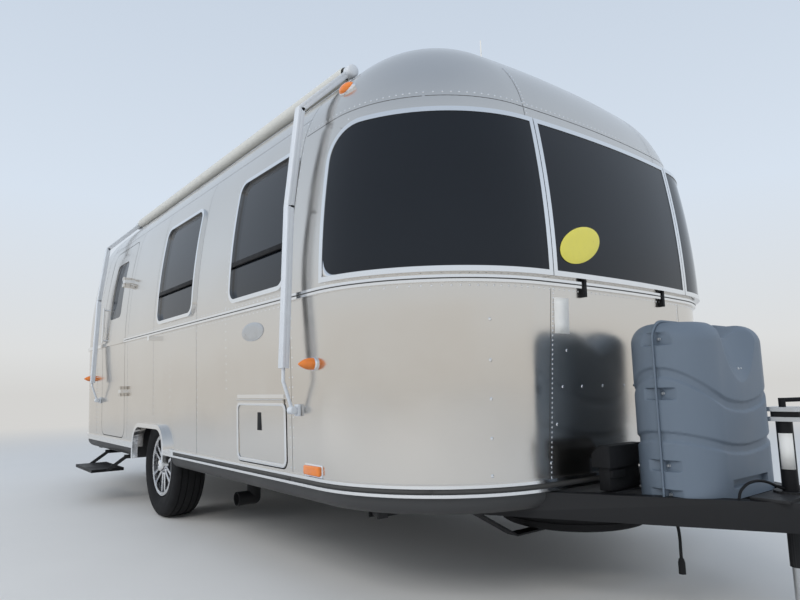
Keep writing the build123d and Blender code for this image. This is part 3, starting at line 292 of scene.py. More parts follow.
# the nodes of each finish; the others are black steel
FINISH_NODES = [
    (DARK_GLASS, ("window_glass", "entry_door_glass")),
    (ZINC, ("jack_leg",)),
    (RUBBER, ("tyre_kerb", "tyre_street", "spare_tyre")),
    (ALLOY, ("rim_kerb", "rim_street")),
    (CHROME, ("hub_kerb", "hub_street")),
    (COVER_PAINTED_SHADE, ("gas_bottle_cover",)),
    (BLACK_PLASTIC, ("battery_box", "drain_outlet", "cord_gland", "trailer_plug", "trailer_cord",
                     "jack_cable")),
    (UNDERBODY_PAINTED_SHADE, ("belly_pan", "wheel_wells")),
    (FLOOR_BOARD, ("floor",)),
    (AMBER, ("side_lamps",)),
    (RED_LENS, ("tail_lamps",)),
    (CLOTH, ("awning_roller",)),
    (ARM_PAINT, ("awning_arms",)),
    (SKIN_WITH_PAINTED_REFLECTION, ("rear_bumper",)),
    (TRIM, ("window_frames", "front_window_frames", "belt_rail", "rub_rail", "wheel_arch_trims",
            "hinge_brackets", "entry_door_handle")),
    (WHITE_PLASTIC, ("air_conditioner", "roof_vent_base", "roof_vent_lid", "roof_fittings",
                     "street_services")),
]


# Putting pieces in the scene

# least likeness of a face to the body form for it to take the form's normals
FORM_LIKENESS = 0.93


def body_of_node(node):
    """The body that carries a node."""
    for body, members in frame["record"]["behaviour"]["bodies"].items():
        if node in members:
            return body
    return "caravan"


def add_piece(name, bm, mat, body="caravan", smooth=35.0):
    """A finished bmesh as a piece that rides on a body, smooth up to an angle."""
    bm.normal_update()
    mesh = bpy.data.meshes.new(name)
    bm.to_mesh(mesh)
    bm.free()
    mesh.materials.append(mat)
    mesh.shade_smooth()
    mesh.set_sharp_from_angle(angle=radians(smooth))
    piece = bpy.data.objects.new(name, mesh)
    scene.collection.objects.link(piece)
    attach(piece, body)
    return piece


def sheet_copy(node):
    """A copy of a skin sheet with its corners joined and the body form's own normals."""
    bm = bmesh.new()
    bm.from_mesh(nodes[node].data)
    bmesh.ops.remove_doubles(bm, verts=bm.verts, dist=2e-5)
    piece = add_piece(node + "_sheet", bm, SKIN_WITH_PAINTED_REFLECTION, body_of_node(node))
    mesh = piece.data
    normals = []
    for face in mesh.polygons:
        for loop in face.loop_indices:
            form = skin_normal(mesh.vertices[mesh.loops[loop].vertex_index].co)
            normals.append(form if face.normal.dot(form) > FORM_LIKENESS else face.normal.copy())
    mesh.normals_split_custom_set(normals)
    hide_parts(node)


for node in SKIN_NODES:
    sheet_copy(node)
node_finish = {node: mat for mat, members in FINISH_NODES for node in members}
for node, obj in nodes.items():
    if node not in SKIN_NODES:
        obj.data.materials.clear()
        obj.data.materials.append(node_finish.get(node, BLACK_STEEL))


# Trailer cord: the points of its route in metres
CORD_ROUTE = [
    (2.496, -0.215, 0.400), (2.542, -0.213, 0.405), (2.584, -0.210, 0.388), (2.614, -0.207, 0.352),
    (2.626, -0.205, 0.308), (2.628, -0.204, 0.262), (2.627, -0.204, 0.229), (2.627, -0.204, 0.196),
]


def cord_curve(name, route, radius, mat):
    """A smooth round cord through its route's points."""
    curve = bpy.data.curves.new(name, "CURVE")
    curve.dimensions = "3D"
    curve.bevel_depth = radius
    curve.bevel_resolution = 3
    spline = curve.splines.new("NURBS")
    spline.points.add(len(route) - 1)
    for point, place in zip(spline.points, route):
        point.co = (*place, 1)
    spline.order_u = 3
    spline.use_endpoint_u = True
    spline.resolution_u = 8
    curve.materials.append(mat)
    piece = bpy.data.objects.new(name, curve)
    scene.collection.objects.link(piece)
    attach(piece, "caravan")
    return piece


trailer_cord = cord_curve("trailer_lead", CORD_ROUTE, 0.006, BLACK_PLASTIC)
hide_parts("trailer_cord")


# Shaping helpers

def bounded(value, low, high):
    """A value kept between two limits."""
    return max(low, min(high, value))


def spaced(start, end, pitch):
    """Evenly spaced values from start to end at about a pitch."""
    count = max(1, round(abs(end - start) / pitch))
    return [start + (end - start) * i / count for i in range(count + 1)]


def of_kind(geom, kind):
    """The elements of one kind in what an operator made."""
    return [g for g in geom if isinstance(g, kind)]


def turn(bm, profile, centre, along, outward, steps=48, closed=False):
    """Spins a profile of distances along a line and radii into a turned form."""
    along, outward = Vector(along), Vector(outward)
    corners = [bm.verts.new(Vector(centre) + along * a + outward * r) for a, r in profile]
    edges = [bm.edges.new(pair) for pair in zip(corners, corners[1:])]
    if closed:
        edges.append(bm.edges.new((corners[-1], corners[0])))
    bmesh.ops.spin(bm, geom=corners + edges, cent=centre, axis=along, angle=2 * pi, steps=steps,
                   use_merge=True)
    bmesh.ops.remove_doubles(bm, verts=bm.verts, dist=1e-5)
    bmesh.ops.recalc_face_normals(bm, faces=bm.faces)


def face_along(faces, way):
    """Turns faces so that they look along a direction."""
    for face in faces:
        face.normal_update()
        if face.normal.dot(way) < 0:
            face.normal_flip()


def strip(bm, places, acrosses, facing=None):
    """A ribbon: a chain of edges through places, drawn out sideways by each place's own step."""
    chain = [bm.verts.new(p) for p in places]
    edges = [bm.edges.new(pair) for pair in zip(chain, chain[1:])]
    drawn = bmesh.ops.extrude_edge_only(bm, edges=edges)["geom"]
    for vert in of_kind(drawn, bmesh.types.BMVert):
        start = min(range(len(places)), key=lambda i: (Vector(places[i]) - vert.co).length)
        vert.co += acrosses[start]
    if facing is not None:
        face_along(of_kind(drawn, bmesh.types.BMFace), facing)


def ring_strip(bm, outer, inner, facing):
    """A flat ring between two closed lines of points."""
    strip(bm, outer, [q - p for p, q in zip(outer, inner)], facing)


def skin_line(start, end, side, proud, step=0.03):
    """Points and normals along a line on the skin, start and end given as (across, height)."""
    count = max(2, int(abs(end[0] - start[0]) / step + abs(end[1] - start[1]) / step))
    spots = []
    for i in range(count + 1):
        across, z = (a + (b - a) * i / count for a, b in zip(start, end))
        spots.append(outline_point(across, z, side, proud))
    return spots


def skin_band(bm, start, end, side, width, proud):
    """A band of a given width that follows the skin along a line."""
    spots = skin_line(start, end, side, proud)
    places = [place for place, normal in spots]
    acrosses = []
    for i, (place, normal) in enumerate(spots):
        way = places[min(i + 1, len(places) - 1)] - places[max(i - 1, 0)]
        acrosses.append(way.cross(normal).normalized() * width)
    strip(bm, [p - a / 2 for p, a in zip(places, acrosses)], acrosses, spots[0][1])


def bevel_edges(bm, edges, width, segments=2):
    """Rounds edges, or cuts them flat with one segment."""
    bmesh.ops.bevel(bm, geom=list(edges), offset=width, offset_type="OFFSET", segments=segments, profile=0.5,
                    affect="EDGES", material=-1)


def box(bm, low, high, turned=None):
    """A sharp box between two corners, moved by a matrix if there is one; gives its edges."""
    low, high = Vector(low), Vector(high)
    placed = Matrix.Translation((low + high) / 2) @ Matrix.Diagonal((*(high - low), 1))
    made = bmesh.ops.create_cube(bm, size=1, matrix=turned @ placed if turned else placed)
    return {e for v in made["verts"] for e in v.link_edges}


def block(bm, low, high, bevel, segments=2, turned=None):
    """A box between two corners with rounded edges."""
    bevel_edges(bm, box(bm, low, high, turned), bevel, segments)


def pin(bm, start, end, radius, steps, bevel):
    """A round bar between two points with closed ends."""
    start = Vector(start)
    run = Vector(end) - start
    length = run.length
    profile = [(0, 0), (0, radius - bevel), (bevel, radius), (length - bevel, radius),
               (length, radius - bevel), (length, 0)]
    turn(bm, profile, start, run.normalized(), run.orthogonal().normalized(), steps)


def oval_plate(bm, place, normal, half_wide, half_high, thick, tilt=0.0):
    """An oval plate with a softly rounded rim, its face along the normal."""
    rim = 1 - thick / half_high
    profile = [(-thick, 0), (-thick, 1), (0.6 * thick, 1), (thick, rim), (1.2 * thick, 0.6),
               (1.25 * thick, 0)]
    turn(bm, profile, (0, 0, 0), (0, 0, 1), (1, 0, 0), 56)
    across = Vector((0, 0, 1)).cross(normal).normalized()
    facing = Matrix((across, normal.cross(across), normal)).transposed().to_4x4()
    bmesh.ops.transform(bm, matrix=Matrix.Translation(place) @ facing @ Matrix.Rotation(tilt, 4, "Z")
                        @ Matrix.Diagonal((half_wide, half_high, 1, 1)), verts=bm.verts)


def rounded_ring(x0, x1, z0, z1, radius, steps=7):
    """Corners of an upright rounded rectangle, once round, as x and height."""
    spots = []
    for x, z, quarter in ((x1, z1, 0), (x0, z1, 1), (x0, z0, 2), (x1, z0, 3)):
        centre_x = x - radius if x == x1 else x + radius
        centre_z = z - radius if z == z1 else z + radius
        for i in range(steps + 1):
            angle = pi / 2 * (quarter + i / steps)
            spots.append((centre_x + radius * cos(angle), centre_z + radius * sin(angle)))
    return spots + spots[:1]


def thicken(piece, thick, way=0):
    """Gives a flat piece its thickness: outwards with way 1, inwards with -1, both with 0."""
    wall = piece.modifiers.new("thickness", "SOLIDIFY")
    wall.thickness = thick
    wall.offset = way


def soften(piece, width):
    """Rounds the edges of a piece with a thickness."""
    soft = piece.modifiers.new("soft_edges", "BEVEL")
    soft.width = width
    soft.segments = 2


# Wheels

TYRE_Y = 1.0295
AXLE_X = -0.685
AXLE_Z = 0.355
SPARE = (1.985, 0, 0.3345)
# half of the rubber's section: distance from its middle, radius
TYRE_HALF = [
    (0.0780, 0.1970), (0.0825, 0.2050), (0.0825, 0.2150), (0.0900, 0.2205), (0.0985, 0.2300),
    (0.1060, 0.2460), (0.1065, 0.2510), (0.1105, 0.2650), (0.1118, 0.2800), (0.1105, 0.2960),
    (0.1080, 0.3080), (0.1085, 0.3105), (0.1050, 0.3220), (0.1010, 0.3330), (0.0960, 0.3410),
    (0.0890, 0.3470), (0.0800, 0.3500), (0.0700, 0.3515), (0.0690, 0.3445), (0.0610, 0.3445),
    (0.0600, 0.3525), (0.0290, 0.3542), (0.0280, 0.3465), (0.0200, 0.3465), (0.0190, 0.3550),
]
TREAD_STEPS = 120
# cuts in the tread: distance from the middle from and to, least radius, depth, step of four on each side
TREAD_CUTS = [(0.079, 0.120, 0.338, 0.004, (0, 0)), (0.029, 0.0615, 0.350, 0.0025, (1, 3))]
# turned wheel pieces: distance along the axle, radius
RIM_LIP = [(0.0885, 0.2125), (0.0905, 0.2105), (0.0905, 0.2020), (0.0880, 0.1985), (0.0700, 0.1925),
           (0.0640, 0.1880), (0.0640, 0.1700), (0.0655, 0.1690)]
HUB_CAP = [(0.0620, 0.0480), (0.0700, 0.0480), (0.0720, 0.0440), (0.1000, 0.0410), (0.1060, 0.0380),
           (0.1100, 0.0300), (0.1120, 0.0160), (0.1125, 0)]
WHEEL_BOLT = [(0, 0.0110), (0.0060, 0.0110), (0.0062, 0.0092), (0.0200, 0.0092), (0.0240, 0.0060),
              (0.0245, 0)]
WHEEL_FACE = [(0.0630, 0.046), (0.0630, 0.186), (0.0640, 0.186), (0.0640, 0.046)]
BOLT_COUNT = 6
BOLT_CIRCLE_R = 0.062
BOLT_OUT = 0.060
SPOKE_PAIRS = 6
SPOKE_SPREAD = 0.20
SPOKE_LEAN = 0.10
SPOKE_OUT = 0.071
SPOKE_MIDDLE_R = 0.119
SPOKE_HALF = Vector((0.0105, 0.007, 0.068))


def tyre(name, node, centre, along, outward):
    """A road tyre: bead, bulging sidewall with its two ribs, ribbed tread and cut shoulders."""
    bm = bmesh.new()
    profile = TYRE_HALF + [(-a, r) for a, r in reversed(TYRE_HALF)]
    turn(bm, profile, centre, along, outward, TREAD_STEPS, closed=True)
    along = Vector(along)
    first = Vector(outward)
    second = along.cross(first)
    for vert in bm.verts:
        arm = vert.co - Vector(centre)
        across = arm.dot(along)
        around = arm - along * across
        step = round(atan2(around.dot(second), around.dot(first)) / (2 * pi) * TREAD_STEPS) % 4
        for near, far, least, depth, steps in TREAD_CUTS:
            if near < abs(across) < far and around.length > least and step == steps[0 if across > 0 else 1]:
                vert.co -= around.normalized() * depth
    piece = add_piece(name, bm, RUBBER, body_of_node(node), smooth=32)
    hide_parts(node)


for side, tag in ((-1, "kerb"), (1, "street")):
    centre = (AXLE_X, side * TYRE_Y, AXLE_Z)
    along = (0, side, 0)
    up = (0, 0, 1)
    tyre("road_tyre_" + tag, "tyre_" + tag, centre, along, up)
    bm = bmesh.new()
    turn(bm, RIM_LIP, centre, along, up, 96)
    add_piece("rim_lip_" + tag, bm, ALLOY, "wheel_" + tag)
    bm = bmesh.new()
    turn(bm, HUB_CAP, centre, along, up)
    for i in range(BOLT_COUNT):
        angle = (i + 0.5) * 2 * pi / BOLT_COUNT
        spot = Vector((BOLT_CIRCLE_R * cos(angle), side * BOLT_OUT, BOLT_CIRCLE_R * sin(angle)))
        turn(bm, WHEEL_BOLT, Vector(centre) + spot, along, up, 6)
    add_piece("hub_cap_" + tag, bm, CHROME, "wheel_" + tag, smooth=50)
    # dark face behind the pairs of spokes
    bm = bmesh.new()
    turn(bm, WHEEL_FACE, centre, along, up, 64, closed=True)
    add_piece("wheel_face_" + tag, bm, BLACK_PLASTIC, "wheel_" + tag)
    bm = bmesh.new()
    hub_face = Matrix.Translation(Vector(centre) + Vector(along) * SPOKE_OUT)
    for pair in range(SPOKE_PAIRS):
        for half in (-1, 1):
            angle = pair * 2 * pi / SPOKE_PAIRS + half * SPOKE_SPREAD
            placed = (hub_face @ Matrix.Rotation(angle, 4, "Y") @ Matrix.Translation((0, 0, SPOKE_MIDDLE_R))
                      @ Matrix.Rotation(-half * SPOKE_LEAN, 4, "Y"))
            block(bm, -SPOKE_HALF, SPOKE_HALF, 0.005, 3, turned=placed)
    add_piece("wheel_spokes_" + tag, bm, ALLOY, "wheel_" + tag)
tyre("carried_tyre", "spare_tyre", SPARE, (0, 0, -1), (1, 0, 0))

# Rivets and seams of the sheets

SIDE_PITCH = 0.045
FRONT_PITCH = 0.030
CORNER_PITCH = 0.048
ROW_STEP = 0.0205
ROW_TO_SEAM = 0.014
LONE_SIZE = 1.5
# width of a seam and how far it stands proud
FRONT_SEAM = (0.0016, 0.0004)
SIDE_SEAM = (0.0018, 0.0004)
DOME_SEAM = (0.0022, 0.0005)
DOME_SEAM_Z = 2.088
DOME_ROW_Z = 2.108
BELT_ROW_REACH = 1.15
BELT_ROW_HEIGHTS = (1.312, 1.260)
SIDE_ROW_HEIGHTS = (1.258, 1.314, ROOF_SEAM_Z - 0.016, ROOF_SEAM_Z + 0.016)
# the belt rows stop for the door, between these two x, below this height
DOOR_GAP_X = (-2.14, -1.37)
DOOR_GAP_Z = 1.4
# vertical rows on each side: x, z from, z to
SIDE_ROWS = [
    (1.360, 0.52, 2.17), (1.390, 0.52, 2.40), (0.640, 0.88, 2.17), (0.200, 0.52, 2.17),
    (-0.290, 0.70, 1.33), (-0.640, 0.70, 2.17), (-1.300, 0.52, 2.17), (-2.240, 0.52, 2.17),
    (-2.290, 0.52, 2.40), (-2.320, 0.52, 2.40),
]
# side seams beside their rivet rows: x, z from, z to
SIDE_SEAMS = [(1.3755, 0.50, 2.46), (0.190, 0.50, 2.18), (-0.652, 0.70, 2.18), (-1.312, 0.52, 2.18),
              (-2.3055, 0.50, 2.46)]
# rows and seams over the front dome and its lower panel: (across, height) at both ends
FRONT_ROWS = [
    ((-0.500, 1.262), (-0.540, 0.500)), ((0.500, 1.262), (0.540, 0.500)),
    ((-0.520, 2.020), (-0.500, 2.330)), ((0.520, 2.020), (0.500, 2.330)),
    ((-1.130, 2.050), (-1.110, 1.330)), ((1.130, 2.050), (1.110, 1.330)),
]
# single wide-headed rivets on the lower front panel, on both sides of the middle: across, height
LONE_RIVETS = [
    (-0.810, 1.126), (-0.810, 0.966), (-0.810, 0.816), (-0.810, 0.666), (-0.810, 0.526), (-0.460, 0.856),
    (-0.340, 0.856), (-0.200, 0.856), (-0.040, 0.856), (-0.430, 1.006), (-0.500, 0.706), (-0.540, 0.556),
]


def rivet_template():
    """A low domed head, 9 mm across."""
    bm = bmesh.new()
    bmesh.ops.create_cone(bm, cap_ends=True, segments=8, radius1=0.0046, radius2=0.0026, depth=0.0018,
                          matrix=Matrix.Translation((0, 0, 0.0007)))
    mesh = bpy.data.meshes.new("rivet_head")
    bm.to_mesh(mesh)
    bm.free()
    return mesh


RIVET = rivet_template()
rivets = bmesh.new()
seams = bmesh.new()


def stamp(place, normal, size=1.0):
    """Adds one rivet head, its axis along the normal."""
    head = RIVET.copy()
    facing = normal.to_track_quat("Z", "Y").to_matrix().to_4x4()
    head.transform(Matrix.Translation(place) @ facing @ Matrix.Scale(size, 4))
    rivets.from_mesh(head)
    bpy.data.meshes.remove(head)


for side in (-1, 1):
    for x, z0, z1 in SIDE_ROWS:
        for z in spaced(z0, z1, SIDE_PITCH):
            stamp(*outline_point(x, z, side))
    for z in SIDE_ROW_HEIGHTS:
        for x in spaced(REAR_SEAM_X + 0.02, FRONT_SEAM_X - 0.02, SIDE_PITCH):
            if side > 0 or z > DOOR_GAP_Z or not DOOR_GAP_X[0] < x < DOOR_GAP_X[1]:
                stamp(*outline_point(x, z, side))
    for x, z0, z1 in SIDE_SEAMS:
        skin_band(seams, (x, z0), (x, z1), side, *SIDE_SEAM)
    skin_band(seams, (REAR_SEAM_X, ROOF_SEAM_Z), (FRONT_SEAM_X, ROOF_SEAM_Z), side, *SIDE_SEAM)
for start, end in FRONT_ROWS:
    for place, normal in skin_line(start, end, 0, 0.0, ROW_STEP):
        stamp(place, normal)
    shift = -ROW_TO_SEAM if start[0] < 0 else ROW_TO_SEAM
    skin_band(seams, (start[0] + shift, start[1]), (end[0] + shift, end[1]), 0, *FRONT_SEAM)
for z in BELT_ROW_HEIGHTS:
    for y in spaced(-BELT_ROW_REACH, BELT_ROW_REACH, FRONT_PITCH):
        stamp(*outline_point(y, z))
# the dome's seam and the rivet row above it run round both corners to the side seams
half_turn = corner_reach(DOME_ROW_Z) * sin(pi / 4)
for y in spaced(-CORNER_Y - half_turn, CORNER_Y + half_turn, FRONT_PITCH):
    stamp(*outline_point(y, DOME_ROW_Z))
skin_band(seams, (-CORNER_Y - half_turn, DOME_SEAM_Z), (CORNER_Y + half_turn, DOME_SEAM_Z), 0, *DOME_SEAM)
for side in (-1, 1):
    for angle in spaced(pi / 4 - CORNER_PITCH, 0, CORNER_PITCH):
        stamp(*outline_point(FRONT_AXIS_X + corner_reach(DOME_ROW_Z) * sin(angle), DOME_ROW_Z, side))
    for x in spaced(FRONT_AXIS_X - FRONT_PITCH, FRONT_SEAM_X + FRONT_PITCH, FRONT_PITCH):
        stamp(*outline_point(x, DOME_ROW_Z, side))
    skin_band(seams, (FRONT_SEAM_X, DOME_SEAM_Z), (FRONT_AXIS_X + half_turn, DOME_SEAM_Z), side, *DOME_SEAM)
    for y, z in LONE_RIVETS:
        stamp(*outline_point(side * y, z), LONE_SIZE)
add_piece("side_rivets", rivets, TRIM)
add_piece("sheet_seams", seams, SEAM_GAP)

# Gas bottle cover: a two-lobed moulding with pressed waves, latch pockets, a scoop and a seam flange

COVER_X = 2.657
COVER_R = 0.168
COVER_LOBE_Y = 0.172
COVER_FOOT_Z = 0.430
COVER_TOP_Z = 1.098
COVER_BEND = 0.078
STRAIGHT_STEPS = 66
LOBE_STEPS = 104
BEND_STEPS = 12
# the waves: height of the upper edge at the middle, steepness, distance of the bend, width
COVER_WAVES = [(0.783, 0.986, 0.205, 0.036), (0.622, 0.318, 0.150, 0.033)]
WAVE_DEPTH = 0.009
WAVE_EDGE = 0.009
WAVE_SOFTNESS = 0.11
# the V in the top, between the two bottles
DIP_DEPTH = 0.066
DIP_HALF_Y = 0.150
DIP_FOOT_Z = 0.90
# the scoop in the front: x at one height, how it leans with height, hollowness, half width, foot
SCOOP_X = 3.042
SCOOP_Z = 0.937
SCOOP_LEAN = 0.351
SCOOP_HOLLOW = 0.2437
SCOOP_HALF_Y = 0.230
SCOOP_FOOT_Z = 0.70
# the latch pockets: heights from and to, distance of their floor, and the floor's parts with their slope
COVER_POCKETS = [(1.010, 1.053), (0.804, 0.846), (0.538, 0.577), (0.434, 0.471)]
POCKET_Y = 0.318
POCKET_PARTS = [(0.004, 0.068, 0.007 / 0.068), (-0.055, -0.004, -0.010 / 0.055)]
HAND_SLOT_Z = (0.470, 0.500)
HAND_SLOT_HALF_Y = 0.150
HAND_SLOT_DEPTH = 0.022
FLANGE_OUT = 0.005
FLANGE_WIDTH = 0.012
# screws in the pockets and in the scoop: height over the surface, radius
POCKET_SCREW = [(0, 0.007), (0.003, 0.007), (0.004, 0.0055), (0.010, 0.0055), (0.010, 0)]
SCOOP_SCREW = [(0, 0.0065), (0.002, 0.006), (0.004, 0.003), (0.0045, 0)]
SCOOP_SCREW_PLACES = [(2.8060, 0.019, 0.916), (2.8060, 0.041, 0.916)]
SCOOP_FACING = (0.943, 0, 0.331)


def cover_wave(y, middle, steepness, bend):
    """Height of a wave's upper edge at a distance from the middle."""
    lift = ((abs(y) - bend) + sqrt((abs(y) - bend) ** 2 + WAVE_SOFTNESS**2)) / 2
    rest = (-bend + sqrt(bend**2 + WAVE_SOFTNESS**2)) / 2
    return middle + steepness * (lift - rest)


def cover_dip(y):
    """How far the top sinks in the V between the two bottles."""
    return DIP_DEPTH * max(0.0, 1 - sqrt((y / DIP_HALF_Y) ** 2 + 0.006))


def press_cover(vert):
    """Presses the waves, the V, the scoop, the pockets and the hand slot into the plain cover."""
    p = vert.co
    out = Vector((p.x - COVER_X, p.y - bounded(p.y, -COVER_LOBE_Y, COVER_LOBE_Y), 0))
    if out.length > COVER_R - COVER_BEND:
        depth = 0.0
        for middle, steepness, bend, width in COVER_WAVES:
            below = cover_wave(p.y, middle, steepness, bend) - p.z
            inside = min(below, width - below) / WAVE_EDGE + 0.5
            depth = max(depth, WAVE_DEPTH * bounded(inside, 0.0, 1.0))
        p -= out.normalized() * depth
    rise = bounded((p.z - DIP_FOOT_Z) / (COVER_TOP_Z - DIP_FOOT_Z), 0.0, 1.0)
    p.z -= cover_dip(p.y) * rise * rise * (3 - 2 * rise)
    if p.x > COVER_X + 0.04 and abs(p.y) < SCOOP_HALF_Y - 0.001 and p.z > SCOOP_FOOT_Z:
        hollow = SCOOP_HOLLOW * sqrt(1 - (p.y / SCOOP_HALF_Y) ** 2)
        p.x = min(p.x, SCOOP_X - SCOOP_LEAN * (p.z - SCOOP_Z) - hollow)
    in_front = p.x - COVER_X
    for z0, z1 in COVER_POCKETS:
        for near, far, slope in POCKET_PARTS:
            if z0 < p.z < z1 and near < in_front < far:
                limit = POCKET_Y + slope * in_front
                p.y = bounded(p.y, -limit, limit)
    if in_front > 0.10 and abs(p.y) < HAND_SLOT_HALF_Y and HAND_SLOT_Z[0] < p.z < HAND_SLOT_Z[1]:
        p.x = min(p.x, COVER_X + COVER_R - HAND_SLOT_DEPTH)


def cover_section(grow):
    """The cover's half section, foot to the middle of the top, as reach and height."""
    top = COVER_TOP_Z + grow
    section = [(COVER_R + grow, z) for z in spaced(COVER_FOOT_Z, top - COVER_BEND, 0.0048)]
    for i in range(1, BEND_STEPS + 1):
        angle = pi / 2 * i / BEND_STEPS
        section.append((COVER_R + grow - COVER_BEND * (1 - cos(angle)), top - COVER_BEND * (1 - sin(angle))))
    return section + [(r, top) for r in spaced(COVER_R + grow - COVER_BEND - 0.010, 0, 0.010)]


bm = bmesh.new()
chain = [bm.verts.new((COVER_X + reach, -COVER_LOBE_Y, z)) for reach, z in cover_section(0)]
edges = [bm.edges.new(pair) for pair in zip(chain, chain[1:])]
for way in (1, -1):
    for i in range(STRAIGHT_STEPS + LOBE_STEPS):
        drawn = bmesh.ops.extrude_edge_only(bm, edges=edges)["geom"]
        moved = of_kind(drawn, bmesh.types.BMVert)
        edges = of_kind(drawn, bmesh.types.BMEdge)
        if i < STRAIGHT_STEPS:
            bmesh.ops.translate(bm, vec=(0, way * 2 * COVER_LOBE_Y / STRAIGHT_STEPS, 0), verts=moved)
        else:
            bmesh.ops.rotate(bm, cent=(COVER_X, way * COVER_LOBE_Y, 0), verts=moved,
                             matrix=Matrix.Rotation(pi / LOBE_STEPS, 3, "Z"))
bmesh.ops.remove_doubles(bm, verts=bm.verts, dist=2e-4)
for vert in bm.verts:
    press_cover(vert)
bmesh.ops.remove_doubles(bm, verts=bm.verts, dist=3e-4)
bmesh.ops.recalc_face_normals(bm, faces=bm.faces)
cover = add_piece("bottle_cover", bm, COVER_PAINTED_SHADE, smooth=38)
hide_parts("gas_bottle_cover")

# the flange where its two halves meet
bm = bmesh.new()
half = [(COVER_LOBE_Y + reach, z) for reach, z in cover_section(FLANGE_OUT) if reach > 0.09]
crown_y = half[-1][0] - 0.01
crown = [(y, COVER_TOP_Z + FLANGE_OUT - cover_dip(y)) for y in spaced(crown_y, -crown_y, 0.01)]
around = half + crown + [(-y, z) for y, z in reversed(half)]
strip(bm, [(COVER_X - 0.003, y, z) for y, z in around], [Vector((0.006, 0, 0))] * len(around))
bmesh.ops.recalc_face_normals(bm, faces=bm.faces)
thicken(add_piece("cover_flange", bm, COVER_PAINTED_SHADE, smooth=40), FLANGE_WIDTH)

bm = bmesh.new()
for side in (-1, 1):
    for z0, z1 in COVER_POCKETS:
        place = (COVER_X + 0.014, side * POCKET_Y, (z0 + z1) / 2)
        turn(bm, POCKET_SCREW, place, (0, side, 0), (0, 0, 1), 6)
for place in SCOOP_SCREW_PLACES:
    turn(bm, SCOOP_SCREW, place, SCOOP_FACING, (0, 1, 0), 12)
add_piece("cover_screws", bm, ZINC, smooth=30)

# Battery box with its latch bar, and its lid with a cut back edge

bm = bmesh.new()
block(bm, (2.414, -0.396, 0.446), (2.466, -0.184, 0.545), 0.006)
block(bm, (2.460, -0.392, 0.498), (2.475, -0.300, 0.528), 0.003)
lid = box(bm, (2.394, -0.410, 0.538), (2.478, -0.170, 0.623))
bevel_edges(bm, [e for e in lid if all(v.co.x < 2.40 and v.co.z > 0.60 for v in e.verts)], 0.036, 1)
lid_edges = [e for e in bm.edges if max(v.co.z for v in e.verts) > 0.550 and e.calc_face_angle(0) > 0.3]
bevel_edges(bm, lid_edges, 0.004)
battery = add_piece("battery_case", bm, BLACK_PLASTIC, smooth=30)
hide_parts("battery_box")

# Awning: roller with its cloth and end caps, and the folded arms

ROLLER_Y = -0.921
ROLLER_Z = 2.470
ROLLER_R = 0.038
ROLLER_REAR_X = -2.13
# distance from the rear end, and how far the cloth lies below the full radius
ROLL_PROFILE = [(0, 0.004), (0.02, 0.001), (0.6, 0), (1.2, 0.001), (1.8, 0), (2.4, 0.001), (3.0, 0),
                (3.53, 0.001), (3.55, 0.004)]
END_CAP = [(-0.020, 0), (-0.020, 0.030), (-0.018, 0.0325), (0.022, 0.0325), (0.027, 0.030), (0.030, 0.024),
           (0.031, 0)]
# x and foot height of each arm
ARMS = [(1.445, 0.776), (-2.155, 0.806)]
ARM_PATH = [(ROLLER_Y, ROLLER_Z), (-1.205, 2.190), (-1.262, 1.700), (-1.284, 0.967)]
ARM_FOOT_Y = ARM_PATH[-1][0]
ARM_OVERLAP = 0.006
# the bars of an arm: distance from its middle, half width, near and far face, rounding
ARM_BARS = [(0, 0.0225, -0.004, 0.016, 0.004), (-0.0185, 0.004, -0.018, 0.002, 0.0015),
            (0.0185, 0.004, -0.018, 0.002, 0.0015), (0, 0.007, -0.012, 0.0, 0.002)]
ROD_R = 0.008
ROD_TOP_Z = 0.975
BRACKET_Y = -1.240

bm = bmesh.new()
turn(bm, [(x, ROLLER_R - drop) for x, drop in ROLL_PROFILE], (ROLLER_REAR_X, ROLLER_Y, ROLLER_Z), (1, 0, 0),
     (0, 0, 1), 40)
roller = add_piece("awning_roll", bm, CLOTH, smooth=60)
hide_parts("awning_roller")


def arm_length(bm, start, end, x, half_wide, near, far, bevel):
    """One straight length of an awning arm between two points of its path, given as (y, height)."""
    start, end = Vector((x, *start)), Vector((x, *end))
    run = end - start
    half_long = run.length / 2 + ARM_OVERLAP
    placed = Matrix.Translation((start + end) / 2) @ Matrix.Rotation(atan2(-run.y, run.z), 4, "X")
    block(bm, (-half_wide, near, -half_long), (half_wide, far, half_long), bevel, turned=placed)


arms = bmesh.new()
caps = bmesh.new()
knuckles = bmesh.new()
for x, foot_z in ARMS:
    for start, end in zip(ARM_PATH, ARM_PATH[1:]):
        for aside, *section in ARM_BARS:
            arm_length(arms, start, end, x + aside, *section)
    way = 1 if x > 0 else -1
    turn(caps, END_CAP, (x + way * 0.022, ROLLER_Y - 0.005, ROLLER_Z - 0.012), (way, 0, 0), (0, 0, 1), 36)
    pin(knuckles, (x, ARM_FOOT_Y, ROD_TOP_Z), (x, ARM_FOOT_Y, foot_z + 0.122), ROD_R, 14, 0.001)
    pin(knuckles, (x, ARM_FOOT_Y, foot_z + 0.128), (x, BRACKET_Y - 0.002, foot_z + 0.010), ROD_R, 14, 0.001)
    pin(knuckles, (x - 0.020, BRACKET_Y, foot_z), (x + 0.020, BRACKET_Y, foot_z), 0.017, 20, 0.003)
    block(knuckles, (x - 0.012, BRACKET_Y, foot_z - 0.017),
          (x + 0.012, BRACKET_Y + 0.034, foot_z + 0.017), 0.002)
    block(knuckles, (x - 0.018, BRACKET_Y + 0.021, foot_z - 0.026),
          (x + 0.018, BRACKET_Y + 0.035, foot_z + 0.026), 0.002)
arm_piece = add_piece("folded_arms", arms, ARM_PAINT, smooth=30)
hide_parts("awning_arms")
